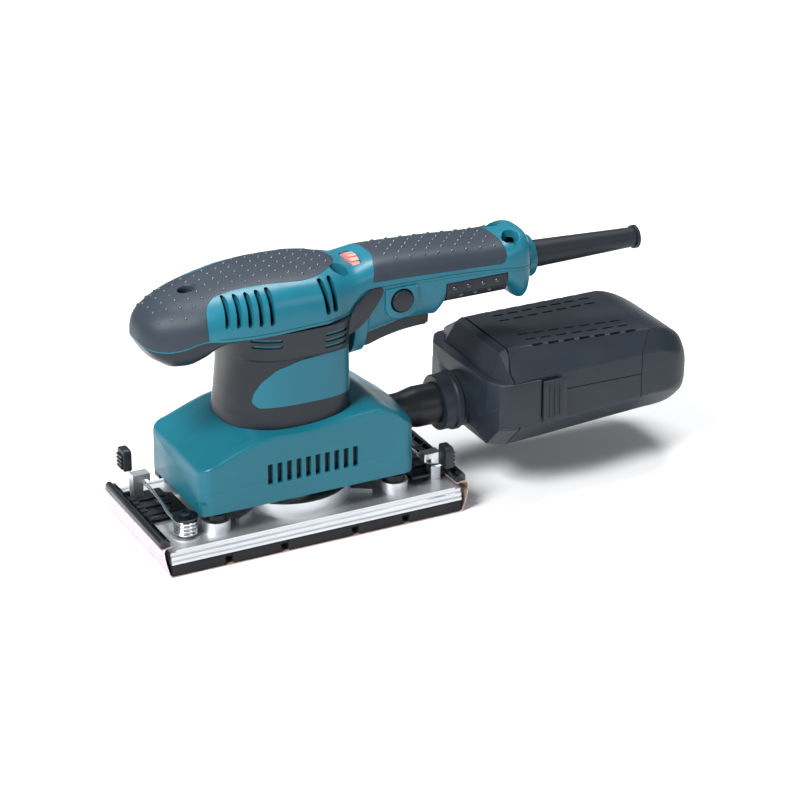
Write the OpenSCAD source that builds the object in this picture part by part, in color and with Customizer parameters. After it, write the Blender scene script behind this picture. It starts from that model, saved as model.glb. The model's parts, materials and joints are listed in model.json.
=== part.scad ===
// Third-sheet orbital sander with a top grip, a rear handle and a dust box.
// Frame: origin at the centre of the sanding face, +Z up, +X towards the cord.

/* [Pad] */
// Length of the cast pad plate
pad_len = 185; // [182:1:188]
// Width of the cast pad plate
pad_w = 93; // [91:1:94]
// Thickness of the abrasive sheet
paper_t = 0.8; // [0.6:0.1:1]
// Height of the cast plate's underside
plate_z = 8; // [7.5:0.5:8.5]
// Thickness of the cast plate
plate_t = 7; // [6.5:0.5:7]
// Offset of the eccentric pin from the motor axis
orbit_r = 1; // [0.8:0.1:1.2]

/* [Skirt] */
// Front end of the skirt
skirt_front = -70; // [-71:0.5:-69]
// Rear end of the skirt
skirt_rear = 66.5; // [66:0.5:67.5]
// Half of the skirt's width
skirt_hw = 39; // [38:0.5:40]
// Height of the skirt's lower edge
skirt_z = 29.5; // [29:0.5:30]
// Thickness of the moulded walls
wall = 3; // [2.5:0.5:3]
// Number of vent slots on each side of the skirt
skirt_slots = 10; // [8:1:10]

/* [Motor] */
// Outer radius of the stator
stator_r = 26.5; // [26:0.5:27]
// Radius of the armature core
core_r = 17; // [16:0.5:17]
// Radius of the motor shaft
shaft_r = 4; // [3.5:0.25:4]
// Number of slots in the armature core
core_slots = 12; // [8:1:12]
// Radius of the fan
fan_r = 29; // [27:0.5:29]
// Number of fan blades
fan_blades = 11; // [7:2:11]

/* [Handle] */
// Rear end of the handle shells
handle_end = 154; // [153:0.5:154]
// Radius of the lock button
button_r = 6.7; // [6.5:0.1:6.8]
// Radius of the speed dial
dial_r = 12; // [11.5:0.5:12]
// Length of the cord guard outside the handle
guard_len = 74.4; // [72:0.2:76]
// Radius of the hole for the cord
cord_r = 3.75; // [3.5:0.05:3.8]

/* [Dust box] */
// Height of the nozzle's centre line
nozzle_z = 51; // [50.5:0.5:51.5]
// Outer radius of the nozzle where the box fits on
nozzle_r = 12.5; // [12.4:0.1:12.6]
// Rear end of the dust box
box_end = 255; // [252:1:255]

/* [Hidden] */
$fn = 48;

// Colours
TEAL = [0.13, 0.49, 0.58];
GRIP = [0.27, 0.30, 0.34];
BLACK = [0.15, 0.16, 0.18];
STEEL = [0.72, 0.74, 0.76];
ALU = [0.76, 0.78, 0.80];

plate_top = plate_z + plate_t;
motor_x = -orbit_r;
gap = 0.15;
box_seam = 227;
skin = 2.2;
flap_z = plate_top + 1.25;
arc_n = 18;
recess_r = 4.2;
cord_z = 135;
droop = 1.2;
collar_r = 12.9;
collar_end = 160.4;
bush_r = 7.9;
pin_r = 1.5;
dial_x = 38.5;
// Axes along Y as [x, z] and the dial's axis along X as [y, z]
PIN = [48.5, 114.5];
LOCK = [65, 132];
LATCH = [154, 61.5];
DIAL = [-4, 146.6];

// Upper body: half-width, crown height and parting height along X
W = [[-91.5, 5], [-91, 8.5], [-89.5, 13], [-86, 18.5], [-82, 22], [-75, 26.5], [-67.5, 30], [-60, 32.5],
     [-48, 35], [-30, 36], [10, 36], [20, 32.5], [30, 27.5], [40, 24], [55, 22.5], [73, 22], [135, 22],
     [146, 20.8], [151, 18.5], [154, 14.5]];
TOP = [[-91.5, 137], [-91, 139.3], [-89.5, 142], [-86, 145.3], [-82, 147.6], [-74, 150.8], [-60, 154],
       [-45, 157], [-30, 159.5], [-12, 161], [26, 159], [38, 155.8], [53, 158], [90, 156.5], [134, 153.8],
       [148, 156.4], [151, 156], [154, 152.8]];
SEAM = [[-91.5, 129.5], [-89.5, 127.8], [-86, 127.2], [-82, 127.2], [-77, 128], [-71, 129.8], [-66, 132],
        [-60, 133.4], [-48, 132.6], [-21, 131.7], [11, 132.5], [20, 132], [27, 131.5], [33, 134.8], [39, 139.5],
        [43, 140.8], [75, 140.2], [95, 139.8], [135, 137], [146, 135.2], [154, 135]];
UPPER_X = [-91.5, -89.5, -86, -82, -75, -67, -60, -48, -30, -12, 10, 20, 27, 33, 39, 43, 48, 55, 75, 95,
           135, 146, 151, 154];
// Underside of the handle and of the front knob along X
HANDLE_LOW = [[30, 99.3], [34, 99.1], [40, 98.9], [43, 99], [44.5, 108.5], [52, 110.4], [59, 111.8],
              [66, 113.4], [72, 114.3], [85, 114.2], [90, 113.4], [92, 115], [95, 119.3], [98, 121.3],
              [135, 124.5], [139, 122.5], [146, 114.5], [149.5, 112.8], [151.5, 114.2], [154, 122]];
KNOB_LOW = [[-91, 128.6], [-89.5, 125.8], [-86, 120], [-82, 117], [-75, 113], [-68, 112.6], [-60, 116],
            [-53, 124.2], [-48, 128], [-30, 130.5]];
// Skirt: crease, shoulder and ridge heights along X
CREASE = [[-70, 53.5], [-69, 56], [-66, 57.8], [-59, 60], [-43, 66], [-31, 69.4], [-23, 70.2], [-2, 69.6],
          [10, 70.5], [23, 72.2], [34, 73.1], [43, 73.4], [54.5, 68.7], [59, 63.8], [66.5, 58.5]];
SHOULDER = [[-70, 54.2], [-69, 56.8], [-66, 58.4], [-59, 61.4], [-43, 67.8], [-33, 70.7], [0, 71.4], [26, 73.8],
            [43, 74.4], [55, 69], [66.5, 61]];
RIDGE = [[-70, 54.6], [-69, 57.2], [-66, 59.6], [-59, 64.2], [-46, 71], [-42, 72.6], [-33, 74], [0, 75],
         [34, 76], [43, 75.6], [55, 70], [66.5, 63.6]];
NECK_FRONT = [[60, -44], [77, -42.5], [84, -41.3], [106, -39.5], [122, -40], [133, -42]];
NECK_REAR = [[60, 33], [133, 33]];
NECK_HW = [[60, 32.5], [77, 33], [113, 32.5], [122, 34], [133, 35.5]];

function w(x) = lookup(x, W);
function top(x) = lookup(x, TOP);
function seam(x) = lookup(x, SEAM);
function pw(v, p) = sign(v) * pow(abs(v), 2 / p);
function between(list, x0, x1) = [x0, for (x = list) if (x > x0 + 0.6 && x < x1 - 0.6) x, x1];
function stations(table, x0, x1) = between([for (p = table) p[0]], x0, x1);

// Exponent of the upper section: rounder over the front knob
function square(x) = 2.6 + 0.6 * max(0, min(1, (x + 60) / 30));
// Upper half-section above the parting line, inset by s and run down by drop
function upper_ring(x, s, drop) = [
    if (drop > 0) [x, w(x) - s, seam(x) - drop],
    for (i = [0:arc_n]) let (t = 180 * i / arc_n)
        [x, (w(x) - s) * pw(cos(t), square(x)), seam(x) + (top(x) - s - seam(x)) * pw(sin(t), square(x))],
    if (drop > 0) [x, s - w(x), seam(x) - drop]
];
// Lower half-section between the parting line and a height table, with exponent p
function lower_ring(x, low, s, rise, p = 3) = [
    if (rise > 0) [x, s - w(x), seam(x) + rise],
    for (i = [0:arc_n]) let (t = 180 * i / arc_n)
        [x, (s - w(x)) * pw(cos(t), p), seam(x) - gap - (seam(x) - gap - lookup(x, low) - s) * pw(sin(t), p)],
    if (rise > 0) [x, w(x) - s, seam(x) + rise]
];
// Closed oval section of the neck at height z, grown by g
function neck_ring(z, g) = let (
        xf = lookup(z, NECK_FRONT) - g,
        xr = lookup(z, NECK_REAR) + g,
        hw = lookup(z, NECK_HW) + g,
        n = 2 * arc_n
    ) [for (i = [0:n - 1]) let (t = 360 * i / n, p = cos(t) < 0 ? 2.4 : 4.2)
        [(xf + xr) / 2 + (xr - xf) / 2 * pw(cos(t), p), hw * pw(sin(t), p), z]];
SKIRT_X = [-69, -67, -64, -60, -53, -46, -42, -33, -27, -10, 3, 18, 34, 43, 50, 55, 59.5, 63, 65.5];
function corner_hw(x, r) = let (d = max(0, r - min(x - skirt_front, skirt_rear - x)))
    skirt_hw - r + sqrt(max(0, r * r - d * d));
// Skirt section with its crease, inset by s
function skirt_ring(x, s) = let (
        xs = max(skirt_front + 0.2, min(skirt_rear - 0.2, x)),
        h = corner_hw(xs, 8) - s,
        k = h / skirt_hw,
        shoulder = lookup(x, SHOULDER) - s,
        ridge = lookup(x, RIDGE) - s,
        half = [[h, skirt_z - (s > 0 ? 1 : 0)], [h, 42.5], [h, lookup(x, CREASE) - s], [33 * k, shoulder],
                [17 * k, (shoulder + 2 * ridge) / 3]]
    ) [for (p = half) [x, p[0], p[1]], [x, 0, ridge],
       for (i = [len(half) - 1:-1:0]) [x, -half[i][0], half[i][1]]];
// Dust box section from a row [x, half-width, low, high, roof chamfer across, roof chamfer down, lower chamfer]
function box_ring(row, s = 0) = let (
        x = row[0],
        h = row[1] - s,
        z0 = row[2] + s,
        z1 = row[3] - s,
        cy = row[4] - 0.6 * s,
        cz = row[5] - 0.6 * s,
        cl = row[6] - 0.6 * s
    ) [[x, h, z0 + cl], [x, h, z1 - cz], [x, h - cy, z1], [x, cy - h, z1],
       [x, -h, z1 - cz], [x, -h, z0 + cl], [x, cl - h, z0], [x, h - cl, z0]];
CAP_ROWS = [[113.5, 33, 40, 62, 9, 9, 9], [119, 43, 31, 72.5, 13, 12, 15],
            [127, 45.2, 28.4, 88.4, 18.5, 13.5, 17], [131.2, 45.6, 28.2, 90.2, 18.5, 13.5, 17]];
CAP_HOLLOW = [[116, 34, 42, 62, 9, 9, 9], [119.5, 43, 32, 72.5, 13, 12, 15],
              [127.5, 45.2, 28.6, 87.4, 18.5, 13.5, 17], [132, 45.6, 28.2, 89.2, 18.5, 13.5, 17]];
BODY_ROWS = [[131.5, 45.4, 27.9, 90, 18.5, 13.5, 17], [150, 45, 28.4, 89.8, 17, 13.3, 17],
             [box_seam, 42.4, 31.2, 87.2, 9.5, 11, 17]];
function fall(t, p) = pow(1 - pow(sin(t), p), 1 / p);
// Rounded rear end of the dust box, len long
function end_rows(len) = [for (t = [9.5:9.8:89]) let (k = 0.7 + 0.3 * cos(t))
    [box_seam + len * sin(t), 17 + 25.4 * fall(t, 3.3), 34 - 2.8 * fall(t, 2.9), 72 + 15.2 * fall(t, 1.45),
     9.5 * k, 11 * k, 17 * k]];

// Solid through a row of rings
module loft(rings) {
    n = len(rings[0]);
    m = len(rings);
    sides = [for (i = [0:m - 2]) for (j = [0:n - 1]) each [
        [i * n + j, (i + 1) * n + (j + 1) % n, i * n + (j + 1) % n],
        [i * n + j, (i + 1) * n + j, (i + 1) * n + (j + 1) % n]]];
    caps = [[for (j = [0:n - 1]) j], [for (j = [n - 1:-1:0]) (m - 1) * n + j]];
    polyhedron([for (r = rings) each r], concat(sides, caps), 4);
}
module along_x(len, at = 0) {
    translate([at, 0, 0]) rotate([90, 0, 90]) linear_extrude(len) children();
}
module along_y(width) {
    rotate([90, 0, 0]) linear_extrude(width, center = true) children();
}
module rod_x(x0, x1, r, y = 0, z = 0) {
    translate([x0, y, z]) rotate([0, 90, 0]) cylinder(r = r, h = x1 - x0);
}
module rod_y(y0, y1, r, x, z) {
    translate([x, y1, z]) rotate([90, 0, 0]) cylinder(r = r, h = y1 - y0);
}
module block(lo, hi) {
    translate(lo) cube(hi - lo);
}
module both_sides() {
    children();
    mirror([0, 1, 0]) children();
}
module ring(r0, r1, z0, z1, x = 0) {
    translate([x, 0, z0]) difference() {
        cylinder(r = r1, h = z1 - z0);
        translate([0, 0, -1]) cylinder(r = r0, h = z1 - z0 + 2);
    }
}
// Slot with round ends, from one point to another, cut along Y
module slot_y(a, b, r, y0, y1) {
    hull() for (p = [a, b]) rod_y(y0, y1, r, p[0], p[1], $fn = 16);
}
module upper_solid(s, drop) {
    x0 = UPPER_X[0] + s;
    x1 = handle_end - s;
    loft([for (x = between(UPPER_X, x0, x1)) upper_ring(x, s, drop)]);
}
// Near edge of the head overmould in plan
HEAD_EDGE = [[-60, -30], [-58.6, -26], [-56.8, -23.2], [-54, -20.6], [-50, -18.9], [-44, -18.9], [-36, -19.8],
             [-26, -21.6], [-10, -24], [2, -24.8], [11, -22.8], [19, -18], [27, -10], [31, -3]];
module head_patch() {
    translate([0, 0, 100]) linear_extrude(80)
        polygon(concat([[-100, -45], [-60, -45]], HEAD_EDGE,
                       [for (i = [len(HEAD_EDGE) - 1:-1:0]) [HEAD_EDGE[i][0], -HEAD_EDGE[i][1]]],
                       [[-60, 45], [-100, 45]]));
}
module handle_patch() {
    along_y(60) polygon([[46.4, 146.3], [131, 142.4], [134.6, 147], [134.6, 170], [62, 170], [56, 159],
                         [50, 155.8]]);
}
COVER_SCREWS = [[-60, 0, 147], [28, -17.5, 144], [28, 17.5, 144], [141, -12.5, 143], [141, 12.5, 143]];

// ---- housing ----
module upper_cover() {
    color(TEAL) difference() {
        union() {
            difference() {
                upper_solid(0, 0);
                upper_solid(4.4, 1);
            }
            intersection() {
                union() {
                    for (p = COVER_SCREWS) translate([p[0], p[1], p[2] - 10]) cylinder(r = 5, h = 30, $fn = 24);
                    rod_x(handle_end - 3, collar_end, collar_r, 0, cord_z, $fn = 40);
                }
                union() {
                    upper_solid(0.4, 0);
                    block([handle_end - 4, -20, 135], [170, 20, 160]);
                }
            }
        }
        difference() {
            union() {
                head_patch();
                handle_patch();
            }
            upper_solid(skin + gap, 1);
        }
        for (p = COVER_SCREWS) {
            translate(p) cylinder(r = recess_r, h = 30, $fn = 24);
            translate([p[0], p[1], 100]) cylinder(r = 2.1, h = 60, $fn = 16);
        }
        both_sides() {
            for (i = [0:4]) slot_y([-47 + 6.3 * i, 154.5], [-48.6 + 6.65 * i, 141], 1.4, 20, 50);
            for (i = [0:1]) slot_y([11.5 + 6.6 * i, 154.5], [12.9 + 5.6 * i, 140], 1.4, 20, 50);
        }
        block([dial_x - 0.8, DIAL[0] - dial_r - 0.3, 140], [dial_x + 5.8, DIAL[0] + dial_r + 0.3, 170]);
        fin_solid(gap);
        rod_x(144, 170, bush_r, 0, cord_z, $fn = 40);
        block([150, -30, 120], [170, 30, 135]);
    }
}
module grip_overmould() {
    color(GRIP) intersection() {
        difference() {
            upper_solid(0, 0);
            upper_solid(skin, 1);
            for (p = [for (i = [0:2]) COVER_SCREWS[i]]) translate([p[0], p[1], 140]) cylinder(r = recess_r, h = 30);
        }
        head_patch();
    }
}
module handle_overmould() {
    color(GRIP) intersection() {
        loft([for (x = between(UPPER_X, 44, 140)) upper_ring(x, 0, 0)]);
        handle_patch();
        difference() {
            block([40, -30, 130], [140, 30, 170]);
            loft([for (x = between(UPPER_X, 34, 146)) upper_ring(x, skin, 1)]);
        }
    }
}
module lower_handle() {
    color(TEAL) difference() {
        union() {
            loft([for (x = stations(HANDLE_LOW, 34, handle_end)) lower_ring(x, HANDLE_LOW, 0, 0)]);
            intersection() {
                union() {
                    rod_y(-23.4, -18, 10.4, LOCK[0], LOCK[1], $fn = 40);
                    block([LOCK[0] - 10.4, -23.4, LOCK[1]], [LOCK[0] + 10.4, -18, 145]);
                }
                block([40, -30, 100], [90, 0, 140.2 - gap]);
            }
            intersection() {
                rod_x(handle_end - 3, collar_end, collar_r, 0, cord_z, $fn = 40);
                block([150, -30, 100], [170, 30, 134.85]);
            }
        }
        difference() {
            loft([for (x = stations(HANDLE_LOW, 33, handle_end - wall)) lower_ring(x, HANDLE_LOW, wall, 1)]);
            for (s = [-1, 1]) translate([141, 12.5 * s, 100]) cylinder(r = 4.5, h = 50, $fn = 24);
        }
        for (s = [-1, 1]) translate([141, 12.5 * s, 100]) cylinder(r = 2.1, h = 60, $fn = 16);
        block([44, -9.4, 96], [90.2, 9.4, 127]);
        rod_y(-40, -10, button_r + 0.25, LOCK[0], LOCK[1], $fn = 40);
        rod_x(144, 170, bush_r, 0, cord_z, $fn = 40);
        along_x(40.9, 94.35) difference() {
            translate([-30, 110]) square([60, 26.4]);
            polygon(concat(GRIP_IN, [[-20, 140], [20, 140]]));
        }
        rod_y(-12.2, 12.2, pin_r + 0.2, PIN[0], PIN[1], $fn = 24);
        fin_solid(gap);
    }
}
module lower_grip_insert() {
    color(BLACK) difference() {
        along_x(40, 94.8) polygon([[-22, 136.2], [-22, 129.6], [-19.5, 124.6], [-14, 122.4], [14, 122.4],
                                   [19.5, 124.6], [22, 129.6], [22, 136.2]]);
        along_x(50, 90) offset(delta = gap) polygon(concat(GRIP_IN, [[-20.1, 140], [20.1, 140]]));
    }
}
GRIP_IN = [[20, 136.4], [20, 130.1], [17.4, 126.4], [13, 124.8], [-13, 124.8], [-17.4, 126.4], [-20, 130.1],
           [-20, 136.4]];
FIN = [[26.4, 120.4], [30.5, 120.8], [34.9, 121.7], [39.5, 123.9], [42.7, 126], [45.7, 129.1], [48.6, 132.6],
       [50.8, 135.7], [52.5, 138.6], [52.7, 141.8], [49, 142.5], [45.6, 142.5], [42.6, 141.7], [37.6, 138.3],
       [33.7, 136.1], [30.6, 133], [28.6, 129.9], [26.4, 124]];
FIN_Y = [[20, 31.8], [26, 30.5], [30, 29], [34, 27.4], [38, 26], [42, 25], [46, 24.2], [50, 23.7], [60, 23.2]];
// Both leaves behind the head, following the shell, grown by g
module fin_solid(g) {
    both_sides() intersection() {
        rotate([90, 0, 0]) linear_extrude(40) offset(delta = g) polygon(FIN);
        translate([0, 0, 110]) linear_extrude(40) polygon(concat(
            [for (p = FIN_Y) [p[0], -p[1] - g]],
            [for (i = [len(FIN_Y) - 1:-1:0]) [FIN_Y[i][0], g + 2.6 - FIN_Y[i][1]]]));
    }
}
module side_inserts() {
    color(BLACK) fin_solid(0);
}
module neck_solid(g, z0, z1) {
    zs = [z0, for (z = [77, 84, 95, 106, 113, 122]) if (z > z0 + 1 && z < z1 - 1) z, z1];
    loft([for (z = zs) neck_ring(z, g)]);
}
module motor_housing() {
    color(BLACK) difference() {
        union() {
            neck_solid(0, 65.3, 131.5 - gap);
            loft([for (x = stations(KNOB_LOW, -91, -38)) lower_ring(x, KNOB_LOW, 0, 0, 2.2)]);
        }
        neck_solid(-wall, 60, 133);
        loft([for (x = stations(KNOB_LOW, -87, -34)) lower_ring(x, KNOB_LOW, wall, 2, 2.2)]);
        both_sides() {
            for (z = [123, 127]) slot_y([-33, z], [-17, z], 0.9, 20, 50);
            for (z = [118, 122, 126]) slot_y([11, z], [24, z], 0.9, 20, 50);
            badge_cut(0);
        }
        fin_solid(gap);
    }
}
BADGE = [[-33, 90], [-29, 98], [-16, 105], [4, 109], [28, 112.8], [28, 91.5], [4, 89.5], [-20, 88], [-31, 87]];
module badge_cut(inset) {
    difference() {
        rotate([90, 0, 0]) translate([0, 0, -60]) linear_extrude(40) offset(delta = -inset) polygon(BADGE);
        neck_solid(inset - 1.2, 80, 120);
    }
}
module badge_panels() {
    color(TEAL) intersection() {
        both_sides() badge_cut(0.1);
        neck_solid(0.3, 81, 119);
    }
}
module base_skirt() {
    color(TEAL) difference() {
        loft([for (x = between(SKIRT_X, skirt_front, skirt_rear)) skirt_ring(x, 0)]);
        loft([for (x = between(SKIRT_X, skirt_front + wall, skirt_rear - wall)) skirt_ring(x, wall)]);
        neck_solid(gap, 60, 100);
        both_sides() for (i = [0:skirt_slots - 1]) slot_y([-27 + 6 * i, 52.5], [-27 + 6 * i, 42.5], 1.4, 30, 50);
        rod_x(50, 80, 10.65, 0, nozzle_z, $fn = 40);
    }
}
module skirt_bumper() {
    color(BLACK) block([-70, 25, 26.5], [-65, 32, skirt_z - 0.1]);
}
module cord_guard() {
    color(BLACK) translate([collar_end, 0, cord_z]) rotate([0, 90 + droop, 0]) difference() {
        union() {
            translate([0, 0, -14]) cylinder(r = 7.35, h = 15);
            translate([0, 0, -14]) cylinder(r = 9.5, h = 3);
            translate([0, 0, 0.4]) cylinder(r1 = 8.4, r2 = 6, h = guard_len - 2);
            translate([0, 0, guard_len - 2]) cylinder(r = 7.2, h = 2);
        }
        translate([0, 0, -20]) cylinder(r = cord_r, h = guard_len + 40);
    }
}
module cord_clamp() {
    color(BLACK) difference() {
        block([127, -10, 128], [134, 10, 131.8]);
        rod_x(120, 140, 3.9, 0, cord_z + 0.4);
        for (s = [-1, 1]) translate([130.5, 7 * s, 120]) cylinder(r = 1.6, h = 20);
    }
}
module cord_clamp_screws() {
    color(STEEL) for (s = [-1, 1]) translate([130.5, 7 * s, 0]) {
        translate([0, 0, 127.5]) cylinder(r = 1.5, h = 6);
        translate([0, 0, 131.85]) cylinder(r = 2.2, h = 1.65);
        translate([0, 0, 133.4]) cylinder(r = 2.8, h = 1.8);
    }
}
module pan_screw(r, head_r, head_h, len) {
    difference() {
        union() {
            translate([0, 0, -len]) cylinder(r = r, h = len + 0.1);
            cylinder(r = head_r, h = head_h);
        }
        for (a = [0, 90]) rotate([0, 0, a]) translate([-0.6 * head_r, -0.4, head_h - 0.8])
            cube([1.2 * head_r, 0.8, 1]);
    }
}
module cover_screws() {
    color(STEEL) for (p = COVER_SCREWS) translate([p[0], p[1], p[2] + 0.1]) pan_screw(1.9, 3.4, 2.4, 12);
}
BRACKET_SCREWS = [[-33, -21], [-33, 21], [25, -21], [25, 21]];
module bracket_screws() {
    color(STEEL) for (p = BRACKET_SCREWS) translate([p[0], p[1], 56.9]) rotate([180, 0, 0])
        translate([0, 0, 0.3]) pan_screw(2, 3.8, 2.2, 8);
}
module stator() {
    color([0.45, 0.46, 0.48]) difference() {
        translate([motor_x, 0, 72]) cylinder(r = stator_r, h = 28);
        translate([motor_x, 0, 71]) cylinder(r = core_r + 0.6, h = 30);
        for (s = [-1, 1]) block([motor_x - 11, s > 0 ? 14 : -22.5, 71], [motor_x + 11, s > 0 ? 22.5 : -14, 101]);
    }
}
module field_coils() {
    color([0.62, 0.33, 0.16]) for (s = [-1, 1]) translate([motor_x, 0, 0]) {
        y0 = s > 0 ? 18.6 : -22.2;
        block([-10.7, y0, 66.8], [10.7, y0 + 3.6, 106]);
    }
}
module bearing(r0, r1, z0, z1, x) {
    mid = (r0 + r1) / 2;
    color(STEEL) {
        ring(r0, mid - 0.9, z0, z1, x);
        ring(mid + 0.9, r1, z0, z1, x);
        ring(mid - 1, mid + 1, z0 + 0.6, z1 - 0.6, x);
    }
}
module upper_bearing() {
    bearing(shaft_r + 0.05, 9.5, 128, 135, motor_x);
}
module upper_bearing_bridge() {
    color(BLACK) translate([motor_x, 0, 0]) difference() {
        union() {
            translate([0, 0, 125.5]) cylinder(r = 13, h = 10.5);
            block([-6, -30, 125.5], [6, 30, 129]);
        }
        translate([0, 0, 127.9]) cylinder(r = 9.52, h = 20);
        translate([0, 0, 120]) cylinder(r = 6, h = 20);
    }
}
module lower_bearing() {
    bearing(shaft_r + 0.05, 11, 57.4, 64.4, motor_x);
}
module bearing_bracket() {
    color(ALU) difference() {
        union() {
            translate([0, 0, 60.5]) linear_extrude(4.5) polygon([for (p = neck_ring(65, -1)) [p[0], p[1]]]);
            translate([motor_x, 0, 57]) cylinder(r = 15, h = 8);
            for (p = BRACKET_SCREWS) translate([p[0], p[1], 57]) cylinder(r = 4.5, h = 6);
        }
        translate([motor_x, 0, 57.3]) cylinder(r = 11.02, h = 20);
        translate([motor_x, 0, 50]) cylinder(r = 6, h = 20);
        for (p = BRACKET_SCREWS) translate([p[0], p[1], 50]) cylinder(r = 2.1, h = 20);
        for (a = [45:90:315]) rotate([0, 0, a]) translate([22, 0, 50]) cylinder(r = 4, h = 20);
    }
}
module brush_holders() {
    color([0.72, 0.58, 0.28]) both_sides() difference() {
        block([motor_x - 4.4, 12.5, 111], [motor_x + 4.4, 28, 121]);
        block([motor_x - 3.1, 10, 112.3], [motor_x + 3.1, 27, 119.7]);
    }
}
module carbon_brushes() {
    color([0.12, 0.12, 0.13]) both_sides() difference() {
        block([motor_x - 3, 9.5, 112.5], [motor_x + 3, 22, 119.5]);
        translate([motor_x, 0, 110]) cylinder(r = 10.15, h = 12);
    }
}
module switch_body() {
    color(BLACK) {
        block([52, -8, 124.5], [86, 8, 140]);
        block([58, -6, 140], [80, 6, 142.5]);
    }
}
module speed_controller() {
    color([0.16, 0.36, 0.22]) {
        block([34.4, -12, 141], [35.8, 11, 150.5]);
        rod_x(35.8, 45.2, pin_r, DIAL[0], DIAL[1]);
        block([35.8, 3, 142], [37.5, 10, 149]);
    }
}
module trigger_pin() {
    color(STEEL) rod_y(-12, 12, pin_r, PIN[0], PIN[1]);
}
module dust_nozzle() {
    color(BLACK) difference() {
        union() {
            rod_x(61, 75, 10.5, 0, nozzle_z);
            translate([75, 0, nozzle_z]) rotate([0, 90, 0]) cylinder(r1 = 10.5, r2 = nozzle_r, h = 8);
            rod_x(83, 116, nozzle_r, 0, nozzle_z);
        }
        rod_x(60, 117, 8.6, 0, nozzle_z);
        translate([76, 0, nozzle_z]) rotate([0, 90, 0]) cylinder(r1 = 8.6, r2 = 10.4, h = 8);
        rod_x(84, 117, 10.4, 0, nozzle_z);
    }
}

// ---- armature ----
module armature_shaft() {
    color(STEEL) {
        translate([0, 0, 16.6]) cylinder(r = 6, h = 17);
        translate([motor_x, 0, 33.6]) cylinder(r = shaft_r, h = 104.4);
    }
}
module armature_core() {
    color([0.5, 0.5, 0.53]) translate([motor_x, 0, 73]) difference() {
        cylinder(r = core_r, h = 26);
        translate([0, 0, -1]) cylinder(r = shaft_r, h = 30);
        for (i = [0:core_slots - 1]) rotate([0, 0, 360 * i / core_slots])
            block([12, -0.8, -1], [20, 0.8, 28]);
    }
}
module armature_windings() {
    color([0.62, 0.33, 0.16]) {
        ring(6.5, 15.5, 67.5, 73, motor_x);
        ring(6.5, 15.5, 99, 105, motor_x);
    }
}
module commutator() {
    color([0.70, 0.45, 0.25]) translate([motor_x, 0, 109]) difference() {
        cylinder(r = 10, h = 14);
        translate([0, 0, -1]) cylinder(r = shaft_r, h = 16);
        for (i = [0:15]) rotate([0, 0, 22.5 * i]) block([8.6, -0.3, -1], [12, 0.3, 16]);
    }
}
module cooling_fan() {
    color(BLACK) translate([motor_x, 0, 0]) difference() {
        union() {
            translate([0, 0, 44]) cylinder(r = 8, h = 11);
            translate([0, 0, 53.2]) cylinder(r = fan_r, h = 1.8);
            for (i = [0:fan_blades - 1]) rotate([0, 0, 360 * i / fan_blades])
                block([7, -0.8, 45], [fan_r, 0.8, 54]);
        }
        translate([0, 0, 40]) cylinder(r = shaft_r, h = 20);
    }
}
module counterweight() {
    color(STEEL) difference() {
        union() {
            translate([motor_x, 0, 34.5]) cylinder(r = 9, h = 9);
            intersection() {
                translate([motor_x, 0, 35.5]) cylinder(r = 24, h = 7);
                block([-40, -40, 30], [-4, 40, 50]);
            }
        }
        translate([motor_x, 0, 30]) cylinder(r = shaft_r, h = 20);
    }
}

// ---- pad ----
POSTS = [[-57, -28], [-57, 28], [57, -28], [57, 28]];
COIL = [-76, -28];
coil_r = 5.9;
wire_r = 1.1;
module base_plate() {
    half = pad_w / 2;
    color(ALU) difference() {
        union() {
            along_x(pad_len, -pad_len / 2) polygon([
                [half, plate_z], [half, plate_z + 1.5], [half - 0.9, plate_z + 2.1], [half - 0.4, plate_z + 2.6],
                [half - 0.4, plate_z + 4.6], [half - 1.6, plate_z + 5.2], [half - 1.6, plate_top],
                [1.6 - half, plate_top], [1.6 - half, plate_z + 5.2], [0.4 - half, plate_z + 4.6],
                [0.4 - half, plate_z + 2.6], [0.9 - half, plate_z + 2.1], [-half, plate_z + 1.5], [-half, plate_z]]);
            for (s = [-1, 1]) along_x(pad_len - 7, 3.5 - pad_len / 2)
                translate([s > 0 ? half - 4.4 : 1.8 - half, plate_top - 0.5]) square([2.6, 1.6]);
            for (p = POSTS) translate([p[0], p[1], plate_top - 1]) cylinder(r = 8.3, h = 8);
            for (s = [-1, 1]) translate([COIL[0] * s, COIL[1] * s, plate_top - 1]) {
                cylinder(r = 8.5, h = 1.5);
                cylinder(r = 3.6, h = 12.6);
            }
            translate([0, 0, plate_top - 1]) cylinder(r = 38, h = 4);
            ring(34.5, 38, plate_top, plate_top + 9);
            translate([0, 0, plate_top - 1]) cylinder(r = 18.5, h = 11.3);
            for (a = [32, 148, 212, 328]) rotate([0, 0, a]) block([37, -1.2, plate_top - 1], [51, 1.2, plate_top + 3]);
        }
        translate([0, 0, plate_top + 0.9]) cylinder(r = 14.02, h = 20);
        translate([0, 0, 0]) cylinder(r = 9, h = 20);
        for (s = [-1, 1]) {
            translate([COIL[0] * s, COIL[1] * s, 12]) cylinder(r = 1.9, h = 20);
            rotate([0, 0, s > 0 ? 0 : 180]) {
                block([77.6, -26.8, 0], [80.5, -17.8, 30]);
                translate([75, -22, 0]) cylinder(r = 1.25, h = 30);
            }
        }
    }
}
module rubber_pad() {
    color(BLACK) difference() {
        block([-pad_len / 2, -pad_w / 2 + 0.3, paper_t + 0.05], [pad_len / 2, pad_w / 2 - 0.3, plate_z]);
        for (x = [-57, -22, 23, 56]) block([x - 2.2, -60, 0], [x + 2.2, 60, plate_z - 2]);
    }
}
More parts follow.
